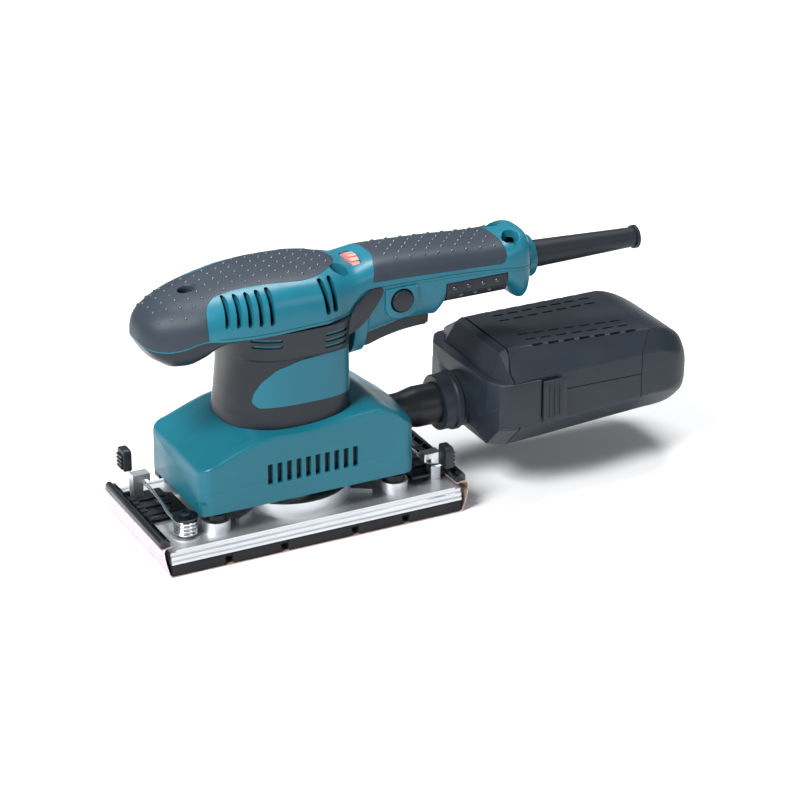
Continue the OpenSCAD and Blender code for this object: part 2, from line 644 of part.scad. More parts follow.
module rounded(x, z0, z1, r) {
    translate([-x, z0 + r]) square([2 * x, z1 - z0 - 2 * r]);
    translate([r - x, z0]) square([2 * x - 2 * r, z1 - z0]);
    for (s = [-1, 1]) for (z = [z0 + r, z1 - r]) translate([s * (x - r), z]) circle(r);
}
module sandpaper() {
    color([0.86, 0.79, 0.83]) along_y(pad_w) difference() {
        rounded(95.6, 0, flap_z + paper_t, 2.6);
        rounded(95.6 - paper_t, paper_t, flap_z, 1.8);
        translate([-90, 5]) square([180, 20]);
    }
}
module pad_bearing() {
    bearing(6.05, 14, plate_top + 1, plate_top + 10, 0);
}
module bearing_retainer() {
    color(STEEL) ring(9.5, 18.5, plate_top + 10.35, plate_top + 11.8);
}
module support_posts() {
    color(BLACK) for (p = POSTS) translate([p[0], p[1], plate_top + 7.05]) {
        cylinder(r = 6.5, h = 4);
        cylinder(r = 5, h = 6.4);
    }
}
module hook() {
    color(ALU) {
        block([-87.4, 22, plate_top + 0.02], [-81.3, 29, 33]);
        block([-81.4, 22, 29.6], [-76.8, 29, 33]);
        block([-77.9, 22, 28.2], [-76.8, 29, 29.7]);
    }
}
module front_hook() {
    hook();
}
module rear_hook() {
    rotate([0, 0, 180]) hook();
}
module clamp_screws() {
    color(BLACK) for (s = [-1, 1]) translate([COIL[0] * s, COIL[1] * s, 0]) {
        ring(2.1, 7.2, 26.75, 27.9);
        translate([0, 0, 28]) pan_screw(1.85, 3.3, 2.4, 15);
    }
}

// ---- clamp levers ----
// Tube of radius r swept along a path of points
module sweep(path, r, sides) {
    n = len(path);
    dirs = [for (i = [0:n - 1]) let (d = path[min(i + 1, n - 1)] - path[max(i - 1, 0)]) d / norm(d)];
    rings = [for (i = [0:n - 1]) let (
        u = cross(dirs[i], [0.02, 0.05, 1]),
        a = u / norm(u),
        b = cross(dirs[i], a)
    ) [for (j = [0:sides - 1]) let (t = 360 * j / sides) path[i] + r * (a * cos(t) + b * sin(t))]];
    loft(rings);
}
module clamp_wire() {
    turns = 3.75;
    z_low = plate_top + 1.8;
    pitch = 2.3;
    steps = 16;
    coil = [for (i = [0:turns * steps]) let (t = 90 - 360 * i / steps)
        [COIL[0] + coil_r * cos(t), COIL[1] + coil_r * sin(t), z_low + pitch * i / steps]];
    arm = [[-81.9, -22, 25.5], [-81.6, -14, 25.5], [-80.2, -4, 25.6], [-79.8, 10, 26.4], [-79.7, 26, 26.9],
           [-79.9, 31, 27.3], [-82, 35.5, 28.4], [-84.6, 38.6, 30.4], [-85.3, 40.6, 33], [-85.4, 41, 36]];
    color(STEEL) sweep(concat(coil, arm), wire_r, 8);
}
module front_clamp_wire() {
    clamp_wire();
}
module rear_clamp_wire() {
    rotate([0, 0, 180]) clamp_wire();
}
module lever_cap() {
    color(BLACK) difference() {
        union() {
            block([-88.4, 35.5, 29.5], [-82.4, 46, 43]);
            for (z = [31.5:2.6:41]) block([-89, 36.5, z], [-81.8, 45, z + 1.2]);
        }
        sweep([[-81.4, 34.2, 28.1], [-82, 35.5, 28.4], [-84.6, 38.6, 30.4], [-85.3, 40.6, 33], [-85.4, 41, 36.2]],
              wire_r + 0.05, 8);
    }
}
module front_lever_cap() {
    lever_cap();
}
module rear_lever_cap() {
    rotate([0, 0, 180]) lever_cap();
}

// ---- paper clamps ----
hinge_z = 18.2;
CLAMP_PLATE = [[-91.1, -7], [-66, -7], [-66, 19], [-69, 22], [-69, 28], [-91.1, 28]];
module paper_clamp() {
    color(BLACK) {
        difference() {
            block([-97.6, -42, flap_z + paper_t + 0.3], [-91, 42, 22.9]);
            block([-95.4, -40.5, 19.5], [-93, 40.5, 30]);
        }
        for (y = [-18, -6, 6, 18]) block([-95.6, y - 0.8, 19], [-92.9, y + 0.8, 22]);
        difference() {
            translate([0, 0, hinge_z - 0.7]) linear_extrude(2) polygon(CLAMP_PLATE);
            block([-88, 21.4, 16], [-80.7, 30, 30]);
        }
        block([-91.1, -7, 19.3], [-88, 28, 21]);
        for (y = [-4, 6, 16]) block([-88.1, y - 1, 19.3], [-70, y + 1, 20.4]);
        rod_y(-7, 19, 1.6, -66, hinge_z);
    }
}
module front_paper_clamp() {
    paper_clamp();
}
module rear_paper_clamp() {
    rotate([0, 0, 180]) paper_clamp();
}

// ---- controls ----
module switch_trigger() {
    color(GRIP) difference() {
        along_y(18) polygon([[44.8, 101.8], [50, 101.5], [58, 104], [66, 106], [76, 107.6], [88.6, 108.4],
                             [89.4, 113.8], [85, 119], [52, 117.6], [44.8, 117]]);
        rod_y(-20, 20, pin_r + 0.05, PIN[0], PIN[1]);
    }
}
module lock_button() {
    color(BLACK) {
        rod_y(-25.6, -17.5, button_r, LOCK[0], LOCK[1]);
        rod_y(-17.6, -12, 3, LOCK[0], LOCK[1]);
    }
}
module speed_dial() {
    color([0.94, 0.60, 0.50]) difference() {
        rod_x(dial_x, dial_x + 5, dial_r, DIAL[0], DIAL[1]);
        for (a = [0:18:342]) translate([dial_x, DIAL[0], DIAL[1]]) rotate([a, 0, 0])
            block([-1, -0.6, dial_r - 0.8], [6, 0.6, dial_r + 1]);
        rod_x(30, 50, pin_r + 0.05, DIAL[0], DIAL[1]);
    }
}

// ---- dust box ----
module dust_box_cap() {
    color(BLACK) difference() {
        union() {
            loft([for (r = CAP_ROWS) box_ring(r)]);
            rod_x(98, 115, 17, 0, nozzle_z);
            rod_x(106, 110, 18.2, 0, nozzle_z);
            both_sides() block([122.8, 43.4, 47.5], [145, 47.2, 75]);
        }
        loft([for (r = CAP_HOLLOW) box_ring(r, 2.4)]);
        rod_x(90, 121, nozzle_r + 0.3, 0, nozzle_z);
        rod_x(100, 104, 14.6, 0, nozzle_z);
        both_sides() block([131.3, 40, 30], [150, 45.8, 90]);
    }
}
module nozzle_seal() {
    color(BLACK) translate([100.1, 0, nozzle_z]) rotate([0, 90, 0]) difference() {
        cylinder(r = 14.55, h = 3.8);
        translate([0, 0, -1]) cylinder(r = nozzle_r + 0.05, h = 6);
    }
}
// Thin-walled box from the cap to the rear end
module box_shell() {
    len = box_end - box_seam;
    difference() {
        loft([for (r = concat(BODY_ROWS, end_rows(len))) box_ring(r)]);
        loft([for (r = concat([[131, 45.4, 27.9, 90, 18.5, 13.5, 17]], BODY_ROWS, end_rows(len - 2.3))) if (r[0] != 131.5)
            box_ring(r, 2.2)]);
    }
}
// Everything behind the bent seam of the rear end, moved back by g
module behind_seam(g) {
    along_y(120) polygon([[box_seam + g, 100], [box_seam + g, 87.6], [216.4 + g, 76], [216.4 + g, 10], [300, 10],
                          [300, 100]]);
}
module dust_box_body() {
    color(BLACK) difference() {
        box_shell();
        behind_seam(0);
        for (j = [0:2]) for (i = [0:6]) both_sides()
            translate([148 + 10.3 * i + 0.5 * j, 11 + 8.3 * j + 0.6 * i, 82]) cube([7, 1.2, 12]);
        both_sides() rod_y(30, 50, 2.7, LATCH[0], LATCH[1]);
    }
}
module dust_box_end() {
    color(BLACK) intersection() {
        box_shell();
        behind_seam(0.2);
    }
}
module dust_filter() {
    color([0.85, 0.84, 0.78]) along_x(86, 136) polygon([
        for (i = [0:13]) [-26 + 4 * i, i % 2 == 0 ? 83.6 : 80.6],
        for (i = [13:-1:0]) [-26 + 4 * i, i % 2 == 0 ? 82.4 : 79.4]]);
}
module latch() {
    color(BLACK) {
        block([145.6, 46.9, 47.5], [161.5, 48.6, 74]);
        for (x = [149.6, 153, 156.4]) block([x, 48.5, 51], [x + 1.4, 49.2, 71]);
        rod_y(40.5, 47, 2.5, LATCH[0], LATCH[1]);
        rod_y(39.5, 40.6, 3.6, LATCH[0], LATCH[1]);
    }
}
module left_latch() {
    mirror([0, 1, 0]) latch();
}
module right_latch() {
    latch();
}

upper_cover();
grip_overmould();
handle_overmould();
lower_handle();
lower_grip_insert();
side_inserts();
motor_housing();
badge_panels();
base_skirt();
skirt_bumper();
cord_guard();
cord_clamp();
cord_clamp_screws();
cover_screws();
bracket_screws();
stator();
field_coils();
upper_bearing();
upper_bearing_bridge();
lower_bearing();
bearing_bracket();
brush_holders();
carbon_brushes();
switch_body();
speed_controller();
trigger_pin();
dust_nozzle();
armature_shaft();
armature_core();
armature_windings();
commutator();
cooling_fan();
counterweight();
base_plate();
rubber_pad();
sandpaper();
pad_bearing();
bearing_retainer();
support_posts();
front_hook();
rear_hook();
clamp_screws();
front_clamp_wire();
front_lever_cap();
rear_clamp_wire();
rear_lever_cap();
front_paper_clamp();
rear_paper_clamp();
switch_trigger();
lock_button();
speed_dial();
dust_box_cap();
nozzle_seal();
dust_box_body();
dust_box_end();
dust_filter();
left_latch();
right_latch();
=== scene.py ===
"""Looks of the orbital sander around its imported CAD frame.

Shells, overmoulds, dust box, springs, clamps, pad and paper are rebuilt here as fine meshes from the
same outlines as the CAD. Plain machined parts keep their CAD mesh and take bevels and materials.
Lengths are in millimetres until a mesh is made.
"""
import json
import math

import bmesh
import bpy
import numpy as np
from mathutils import Matrix, Vector


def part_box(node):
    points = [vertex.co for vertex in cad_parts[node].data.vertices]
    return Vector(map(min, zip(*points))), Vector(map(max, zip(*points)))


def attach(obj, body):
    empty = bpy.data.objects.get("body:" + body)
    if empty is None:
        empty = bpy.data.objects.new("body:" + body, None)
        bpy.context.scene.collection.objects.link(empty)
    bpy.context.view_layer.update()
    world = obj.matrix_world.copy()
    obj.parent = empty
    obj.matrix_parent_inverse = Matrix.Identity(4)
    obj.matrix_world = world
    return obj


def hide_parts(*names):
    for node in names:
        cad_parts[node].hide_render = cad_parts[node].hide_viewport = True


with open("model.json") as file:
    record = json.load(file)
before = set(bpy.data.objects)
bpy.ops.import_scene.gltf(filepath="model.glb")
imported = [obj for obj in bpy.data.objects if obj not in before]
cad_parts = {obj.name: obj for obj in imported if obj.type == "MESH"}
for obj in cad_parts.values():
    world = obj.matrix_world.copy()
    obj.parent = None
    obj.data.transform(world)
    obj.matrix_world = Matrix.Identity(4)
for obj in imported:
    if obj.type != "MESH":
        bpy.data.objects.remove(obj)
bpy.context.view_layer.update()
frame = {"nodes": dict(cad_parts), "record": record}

MM = 0.001


def linked(name, data):
    """A new object in the scene."""
    obj = bpy.data.objects.new(name, data)
    bpy.context.scene.collection.objects.link(obj)
    return obj


def cad(node):
    """Lowest and highest corner of a CAD node, in millimetres."""
    low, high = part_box(node)
    return np.array(low) / MM, np.array(high) / MM


# ---- camera ----
SENSOR = 36.0
LENS = 131.12
AZIMUTH, ELEVATION = math.radians(26.8), math.radians(24.7)
AIM = Vector((0, 0, 60)) * MM
DISTANCE, ASIDE, ABOVE = 1700 * MM, 67.16 * MM, 11.74 * MM

right = Vector((math.cos(AZIMUTH), -math.sin(AZIMUTH), 0))
ahead = Vector((math.sin(AZIMUTH) * math.cos(ELEVATION), math.cos(AZIMUTH) * math.cos(ELEVATION),
                -math.sin(ELEVATION)))
camera = linked("camera", bpy.data.cameras.new("camera"))
camera.data.lens = LENS
camera.data.sensor_width = SENSOR
camera.data.clip_start = 0.05
camera.rotation_euler = ahead.to_track_quat("-Z", "Y").to_euler()
camera.location = AIM + right * ASIDE + right.cross(ahead) * ABOVE - ahead * DISTANCE
bpy.context.scene.camera = camera


# ---- outlines, as tables of [x, value] ----
HALF_WIDTH = [[-91.5, 5], [-91, 8.5], [-89.5, 13], [-86, 18.5], [-82, 22], [-75, 26.5], [-67.5, 30],
              [-60, 32.5], [-48, 35], [-30, 36], [10, 36], [20, 32.5], [30, 27.5], [40, 24], [55, 22.5],
              [73, 22], [135, 22], [146, 20.8], [151, 18.5], [154, 14.5]]
CROWN = [[-91.5, 137], [-91, 139.3], [-89.5, 142], [-86, 145.3], [-82, 147.6], [-74, 150.8], [-60, 154],
         [-45, 157], [-30, 159.1], [-12, 160.3], [26, 158.7], [38, 155.8], [53, 158], [90, 156.5],
         [134, 153.8], [148, 156.4], [151, 156], [154, 152.8]]
PARTING = [[-91.5, 129.5], [-89.5, 127.8], [-86, 127.2], [-82, 127.2], [-77, 128], [-71, 129.8], [-66, 132],
           [-60, 133.4], [-48, 132.6], [-21, 131.7], [11, 132.5], [20, 132], [27, 131.5], [33, 134.8],
           [39, 139.5], [43, 140.8], [75, 140.2], [95, 139.8], [135, 137], [146, 135.2], [154, 135]]
HANDLE_LOW = [[30, 99.3], [34, 99.1], [40, 98.9], [43, 99], [44.5, 108.5], [52, 110.4], [59, 111.8],
              [66, 113.4], [72, 114.3], [85, 114.2], [90, 113.4], [92, 115], [95, 119.3], [98, 121.3],
              [135, 124.5], [139, 122.5], [146, 114.5], [149.5, 112.8], [151.5, 114.2], [154, 122]]
KNOB_LOW = [[-91, 128.6], [-89.5, 125.8], [-86, 120], [-82, 117], [-75, 113], [-68, 112.6], [-60, 116],
            [-53, 124.2], [-48, 128], [-30, 130.5]]
CREASE = [[-70, 53.5], [-69, 56], [-66, 57.8], [-59, 60], [-43, 66], [-31, 69.4], [-23, 70.2], [-2, 69.6],
          [10, 70.5], [23, 72.2], [34, 73.1], [43, 73.4], [54.5, 68.7], [59, 63.8], [66.5, 58.5]]
SHOULDER = [[-70, 54.2], [-69, 56.8], [-66, 58.4], [-59, 61.4], [-43, 67.8], [-33, 70.7], [0, 71.4],
            [26, 73.8], [43, 74.4], [55, 69], [66.5, 61]]
RIDGE = [[-70, 54.6], [-69, 57.2], [-66, 59.6], [-59, 64.2], [-46, 71], [-42, 72.6], [-33, 74], [0, 75],
         [34, 76], [43, 75.6], [55, 70], [66.5, 63.6]]
NECK_FRONT = [[60, -44], [77, -42.5], [84, -41.3], [106, -39.5], [122, -40], [133, -42]]
NECK_REAR = [[60, 33], [133, 33]]
NECK_HALF = [[60, 32.5], [77, 33], [113, 32.5], [122, 34], [133, 35.5]]


def curve(table):
    """Monotone cubic through a table, as a function."""
    x, y = np.array(table, float).T
    slope = np.diff(y) / np.diff(x)
    tangent = np.concatenate([[slope[0]], np.zeros(len(x) - 2), [slope[-1]]])
    a, b = slope[:-1], slope[1:]
    same = a * b > 0
    tangent[1:-1][same] = 2 * a[same] * b[same] / (a + b)[same]

    def at(v):
        v = np.clip(v, x[0], x[-1])
        i = np.clip(np.searchsorted(x, v) - 1, 0, len(slope) - 1)
        h = x[i + 1] - x[i]
        t = (v - x[i]) / h
        return ((2 * t**3 - 3 * t * t + 1) * y[i] + (t**3 - 2 * t * t + t) * h * tangent[i]
                + (3 * t * t - 2 * t**3) * y[i + 1] + (t**3 - t * t) * h * tangent[i + 1])

    return at


half_width, crown, parting = curve(HALF_WIDTH), curve(CROWN), curve(PARTING)
handle_low, knob_low = curve(HANDLE_LOW), curve(KNOB_LOW)
crease, shoulder, ridge = curve(CREASE), curve(SHOULDER), curve(RIDGE)
neck_front, neck_rear, neck_half = curve(NECK_FRONT), curve(NECK_REAR), curve(NECK_HALF)


def resample(points, n, closed=False):
    """n points spaced evenly along a polyline."""
    p = np.array(points, float)
    if closed:
        p = np.vstack([p, p[:1]])
    along = np.concatenate([[0], np.cumsum(np.linalg.norm(np.diff(p, axis=0), axis=1))])
    s = np.linspace(0, along[-1], n + 1)[:-1] if closed else np.linspace(0, along[-1], n)
    return np.stack([np.interp(s, along, p[:, k]) for k in range(p.shape[1])], 1)


def spline(points, n, closed=False):
    """Catmull-Rom curve through points, as n even points."""
    p = np.array(points, float)
    q = np.vstack([p[-1:], p, p[:2]]) if closed else np.vstack([2 * p[0] - p[1], p, 2 * p[-1] - p[-2]])
    t = np.linspace(0, 1, 13)[:-1, None]
    out = [0.5 * (2 * b + (c - a) * t + (2 * a - 5 * b + 4 * c - d) * t * t + (3 * b - a - 3 * c + d) * t**3)
           for a, b, c, d in zip(q, q[1:], q[2:], q[3:])]
    if not closed:
        out.append(p[-1:])
    return resample(np.vstack(out), n, closed)


def rounded(points, r, steps=5):
    """Closed polygon with its corners rounded to radius r, or to one radius per corner."""
    p = np.array(points, float)
    radii = np.broadcast_to(r, len(p))
    out = []
    for a, b, c, k in zip(np.roll(p, 1, 0), p, np.roll(p, -1, 0), radii):
        u, v = (a - b) / np.linalg.norm(a - b), (c - b) / np.linalg.norm(c - b)
        half = math.acos(max(-1, min(1, float(u @ v)))) / 2
        back = min(k / max(math.tan(half), 1e-6), 0.45 * np.linalg.norm(a - b), 0.45 * np.linalg.norm(c - b))
        for t in np.linspace(0, 1, steps):
            out.append((1 - t) ** 2 * (b + u * back) + 2 * t * (1 - t) * b + t * t * (b + v * back))
    return np.array(out)


def superellipse(n, p):
    """n even points of |x|^p + |y|^p = 1 from +x by +y to -x."""
    t = np.linspace(0, math.pi, 721)
    c, s = np.cos(t), np.sin(t)
    return resample(np.stack([np.sign(c) * abs(c) ** (2 / p), abs(s) ** (2 / p)], 1), n)


def oval(n, front, rear):
    """n even points round an oval with one exponent for its front half and one for its rear half."""
    t = np.linspace(0, 2 * math.pi, 1441)[:-1]
    c, s = np.cos(t), np.sin(t)
    k = 2 / np.where(c < 0, front, rear)
    return resample(np.stack([np.sign(c) * abs(c) ** k, np.sign(s) * abs(s) ** k], 1), n, True)


# ---- meshes ----
def piece(name, verts, faces):
    """An object from millimetre corners."""
    mesh = bpy.data.meshes.new(name)
    mesh.from_pydata((np.array(verts, float) * MM).tolist(), [], faces)
    mesh.update()
    obj = linked(name, mesh)
    b = bmesh.new()
    b.from_mesh(mesh)
    bmesh.ops.recalc_face_normals(b, faces=b.faces)
    b.to_mesh(mesh)
    b.free()
    return obj


def loft(name, rings):
    """Closed skin through rings of equal length, with an inner fan at each end."""
    rings = np.array(rings, float)
    m, n = rings.shape[:2]
    verts = rings.reshape(-1, 3).tolist()
    faces = [[i * n + j, i * n + (j + 1) % n, (i + 1) * n + (j + 1) % n, (i + 1) * n + j]
             for i in range(m - 1) for j in range(n)]
    for start, ring in ((0, rings[0]), ((m - 1) * n, rings[-1])):
        verts.append(ring.mean(0).tolist())
        faces += [[start + j, start + (j + 1) % n, len(verts) - 1] for j in range(n)]
    return piece(name, verts, faces)


AXES = {"x": (1, 2, 0), "y": (0, 2, 1), "z": (0, 1, 2)}


def prism(name, outline, axis, low, high):
    """An outline pushed along an axis. Its two columns are the other two axes in order."""
    a, b, c = AXES[axis]
    rings = np.zeros((2, len(outline), 3))
    rings[:, :, a], rings[:, :, b] = np.array(outline, float).T[:, None]
    rings[0, :, c], rings[1, :, c] = low, high
    return loft(name, rings)


def circle(r, at=(0, 0), n=40):
    t = np.linspace(0, 2 * math.pi, n, endpoint=False)
    return np.stack([at[0] + r * np.cos(t), at[1] + r * np.sin(t)], 1)


def stadium(a, b, r, n=10):
    """Outline round two points."""
    a, b = np.array(a, float), np.array(b, float)
    turn = math.atan2(*(b - a)[::-1])
    t = np.linspace(-math.pi / 2, math.pi / 2, n) + turn
    arc = r * np.stack([np.cos(t), np.sin(t)], 1)
    return np.vstack([b + arc, a - arc])


def lathe(name, profile, axis, at, n=64):
    """A profile of [along, radius] turned about an axis through a point."""
    a, b, c = AXES[axis]
    rings = np.zeros((len(profile), n, 3))
    for ring, (along, r) in zip(rings, profile):
        ring[:, [a, b]] = circle(r, n=n)
        ring[:, c] = along
    return loft(name, rings + np.array(at))


def rectangle(x0, y0, x1, y1):
    return [[x0, y0], [x1, y0], [x1, y1], [x0, y1]]


def block(name, low, high):
    return prism(name, rectangle(*low[:2], *high[:2]), "z", low[2], high[2])


def tube(name, path, r, n):
    """Round bar along a path."""
    path = np.array(path, float)
    way = np.gradient(path, axis=0)
    way /= np.linalg.norm(way, axis=1)[:, None]
    side = np.cross(way[0], [0.02, 0.05, 1])
    rings = []
    for p, d in zip(path, way):
        side = side - d * (side @ d)
        side /= np.linalg.norm(side)
        over = np.cross(d, side)
        t = np.linspace(0, 2 * math.pi, n, endpoint=False)[:, None]
        rings.append(p + r * (np.cos(t) * side + np.sin(t) * over))
    return loft(name, rings)


def bake(obj):
    """The object's mesh with its modifiers applied."""
    graph = bpy.context.evaluated_depsgraph_get()
    mesh = bpy.data.meshes.new_from_object(obj.evaluated_get(graph))
    old = obj.data
    obj.modifiers.clear()
    obj.data = mesh
    bpy.data.meshes.remove(old)
    return obj


def solve(obj, tools, operation):
    for tool in tools:
        change = obj.modifiers.new("change", "BOOLEAN")
        change.operation, change.solver, change.object = operation, "MANIFOLD", tool
        bake(obj)
        bpy.data.objects.remove(tool)
    return obj


def cut(obj, *tools):
    return solve(obj, tools, "DIFFERENCE")


def meet(obj, *tools):
    return solve(obj, tools, "INTERSECT")


def fuse(obj, *tools):
    return solve(obj, tools, "UNION")


def group(name, *objs):
    """Several objects as one, with no boolean."""
    b = bmesh.new()
    for o in objs:
        b.from_mesh(o.data)
        bpy.data.objects.remove(o)
    mesh = bpy.data.meshes.new(name)
    b.to_mesh(mesh)
    b.free()
    return linked(name, mesh)


def mirrored(obj):
    """The object and its copy across the XZ plane, as one."""
    b = bmesh.new()
    b.from_mesh(obj.data)
    copy = b.copy()
    bmesh.ops.scale(copy, vec=(1, -1, 1), verts=copy.verts)
    bmesh.ops.reverse_faces(copy, faces=copy.faces)
    other = bpy.data.meshes.new("copy")
    copy.to_mesh(other)
    b.from_mesh(other)
    b.to_mesh(obj.data)
    b.free()
    copy.free()
    return obj


def turned(name, obj):
    """A second object turned half a turn about Z."""
    other = linked(name, obj.data.copy())
    other.data.transform(Matrix.Diagonal((-1, -1, 1, 1)))
    return other


def edge(obj, width, segments=2, angle=40):
    """Rounded edges by a bevel, in millimetres."""
    bevel = obj.modifiers.new("edges", "BEVEL")
    bevel.width, bevel.segments, bevel.angle_limit = width * MM, segments, math.radians(angle)
    bevel.limit_method = "ANGLE"
    bevel.harden_normals = False
    return obj


def finish_piece(obj, body, material, nodes=(), angle=38):
    """Shades, paints and attaches a piece."""
    if obj.modifiers:
        bake(obj)
    obj.data.shade_smooth()
    obj.data.set_sharp_from_angle(angle=math.radians(angle))
    if obj.data.materials:  # clear() would reset the faces' own slots too
        obj.data.materials.clear()
    for m in material if isinstance(material, (list, tuple)) else [material]:
        obj.data.materials.append(m)
    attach(obj, body)
    if nodes:
        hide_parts(*nodes)
    return obj


# ---- materials ----
def put(node, values):
    """Sets a node's inputs by name."""
    for name, value in values.items():
        node.inputs[name].default_value = value


def shader(name, color, rough, metal=0.0, coat=0.0, spec=0.5):
    m = bpy.data.materials.new(name)
    m.use_nodes = True
    p = m.node_tree.nodes["Principled BSDF"]
    put(p, {"Base Color": (*color, 1), "Roughness": rough, "Metallic": metal, "Coat Weight": coat,
            "Specular IOR Level": spec})
    return m, m.node_tree, p


def noise(tree, scale, stretch=(1, 1, 1), detail=3.0, kind="ShaderNodeTexNoise"):
    """A noise over object coordinates; scale is in cycles per metre."""
    where = tree.nodes.new("ShaderNodeTexCoord")
    place = tree.nodes.new("ShaderNodeMapping")
    place.inputs["Scale"].default_value = stretch
    tree.links.new(where.outputs["Object"], place.inputs["Vector"])
    n = tree.nodes.new(kind)
    n.inputs["Scale"].default_value = scale
    if kind == "ShaderNodeTexNoise":
        n.inputs["Detail"].default_value = detail
    tree.links.new(place.outputs["Vector"], n.inputs["Vector"])
    return n.outputs["Distance" if kind == "ShaderNodeTexVoronoi" else "Fac"]


def spread(tree, source, low, high, start=0.3, stop=0.7):
    """A texture value run onto a range."""
    r = tree.nodes.new("ShaderNodeMapRange")
    put(r, {"From Min": start, "From Max": stop, "To Min": low, "To Max": high})
    tree.links.new(source, r.inputs["Value"])
    return r.outputs["Result"]


def tint(tree, p, source, color, other, start=0.3, stop=0.7):
    """Base colour drifting between two colours with a texture."""
    mix = tree.nodes.new("ShaderNodeMix")
    mix.data_type = "RGBA"
    put(mix, {"A": (*color, 1), "B": (*other, 1)})
    tree.links.new(spread(tree, source, 0, 1, start, stop), mix.inputs["Factor"])
    tree.links.new(mix.outputs["Result"], p.inputs["Base Color"])


def bump(tree, p, source, strength, depth):
    b = tree.nodes.new("ShaderNodeBump")
    put(b, {"Strength": strength, "Distance": depth * MM})
    tree.links.new(source, b.inputs["Height"])
    earlier = p.inputs["Normal"].links
    if earlier:
        tree.links.new(earlier[0].from_socket, b.inputs["Normal"])
    tree.links.new(b.outputs["Normal"], p.inputs["Normal"])


def plastic(name, color, rough, grain, depth, coat=0.0, spec=0.3):
    """Moulded plastic: fine spark-eroded grain, uneven gloss and a slight drift of colour."""
    vary = 0.06
    m, tree, p = shader(name, color, rough, coat=coat, spec=spec)
    lighter = tuple(c * (1 + 2 * vary) + 0.002 for c in color)
    tint(tree, p, noise(tree, 14), tuple(c * (1 - vary) for c in color), lighter)
    tree.links.new(spread(tree, noise(tree, 55), rough - 0.04, rough + 0.05), p.inputs["Roughness"])
    bump(tree, p, noise(tree, grain, detail=1.5), 0.5, depth)
    return m


def metal(name, color, rough, stretch=(1, 1, 1), grain=900, depth=0.02, vary=0.08, strength=0.5):
    """Metal with grain or brushing along the axis whose stretch is small."""
    m, tree, p = shader(name, color, rough, metal=1.0)
    tint(tree, p, noise(tree, 60, stretch), tuple(c * (1 - vary) for c in color), color)
    gloss = spread(tree, noise(tree, grain, stretch), rough - 0.08, rough + 0.1)
    tree.links.new(gloss, p.inputs["Roughness"])
    bump(tree, p, noise(tree, grain, stretch), strength, depth)
    return m


teal = plastic("teal_plastic", (0.008, 0.124, 0.178), 0.31, 2600, 0.010)
teal_skirt = plastic("teal_skirt", (0.006, 0.118, 0.166), 0.34, 2200, 0.014)
grip = plastic("soft_grip", (0.023, 0.033, 0.046), 0.50, 3200, 0.020)
# Dimple domes on the grips: the lighter base colour is a painted highlight for their glints; the coat and
# lower roughness are real gloss
grip_domes_painted_glint = plastic("soft_grip_domes_painted_glint", (0.034, 0.047, 0.062), 0.27, 3200, 0.006, coat=0.35, spec=0.6)
rubber = plastic("black_rubber", (0.010, 0.013, 0.018), 0.46, 2800, 0.020)
# Bumps on the rubber insert: the lighter base colour is a painted highlight for their glints; the coat and
# lower roughness are real gloss
rubber_domes_painted_glint = plastic("rubber_domes_painted_glint", (0.015, 0.019, 0.026), 0.28, 2800, 0.006, coat=0.35, spec=0.6)
dark = plastic("dark_plastic", (0.009, 0.013, 0.019), 0.36, 2600, 0.014)
black = plastic("black_plastic", (0.008, 0.010, 0.013), 0.40, 2600, 0.014)
box_plastic = plastic("box_plastic", (0.013, 0.019, 0.027), 0.40, 2000, 0.022)
foam = plastic("pad_rubber", (0.014, 0.015, 0.018), 0.75, 1500, 0.06, spec=0.3)
dial_plastic = plastic("dial_plastic", (0.80, 0.26, 0.22), 0.42, 2500, 0.010)
board = plastic("circuit_board", (0.02, 0.14, 0.05), 0.35, 1500, 0.01)
carbon = plastic("carbon", (0.02, 0.02, 0.022), 0.6, 2500, 0.02)
filter_paper = plastic("filter_paper", (0.68, 0.64, 0.54), 0.85, 1800, 0.04, spec=0.2)
cast = metal("cast_aluminium", (0.80, 0.815, 0.835), 0.36, grain=1500, depth=0.035)
brushed = metal("brushed_aluminium", (0.72, 0.735, 0.76), 0.50, (0.02, 1, 1), 1600, 0.012, 0.03, 0.25)
steel = metal("steel", (0.62, 0.62, 0.63), 0.32, grain=1200, depth=0.008)
chrome = metal("spring_steel", (0.80, 0.81, 0.83), 0.14, grain=1400, depth=0.004, vary=0.03)
black_steel = metal("black_steel", (0.075, 0.080, 0.088), 0.36, grain=1400, depth=0.02, vary=0.2)
bearing_steel = metal("bearing_steel", (0.70, 0.70, 0.72), 0.16, grain=900, depth=0.004)
laminations = metal("laminations", (0.34, 0.34, 0.36), 0.42, (0.05, 0.05, 3), 600, 0.05)
copper = metal("copper", (0.66, 0.30, 0.15), 0.32, (0.1, 0.1, 3), 500, 0.1)
brass = metal("brass", (0.78, 0.56, 0.24), 0.3, grain=1200, depth=0.006)

grit, tree, p = shader("abrasive_grit", (0.72, 0.62, 0.68), 0.8, spec=0.35)
tint(tree, p, noise(tree, 1100, detail=4), (0.50, 0.38, 0.46), (0.86, 0.78, 0.84), 0.36, 0.62)
bump(tree, p, noise(tree, 1500, kind="ShaderNodeTexVoronoi"), 0.7, 0.18)
backing, tree, p = shader("paper_backing", (0.34, 0.24, 0.19), 0.85, spec=0.25)
tint(tree, p, noise(tree, 160, detail=6), (0.27, 0.185, 0.145), (0.42, 0.31, 0.25))
bump(tree, p, noise(tree, 900, (0.3, 1, 1)), 0.5, 0.04)

# ---- upper cover and overmoulds ----
GAP = 0.16
SKIN = 2.2
WALL = 3.2
NOSE, TAIL = HALF_WIDTH[0][0], HALF_WIDTH[-1][0]
COLLAR_Z, COLLAR_R, COLLAR_END, BUSH_R = 135, 12.9, 160.4, 7.9
LOW_ARC = superellipse(76, 3)
KNOB_ARC = superellipse(76, 2.2)


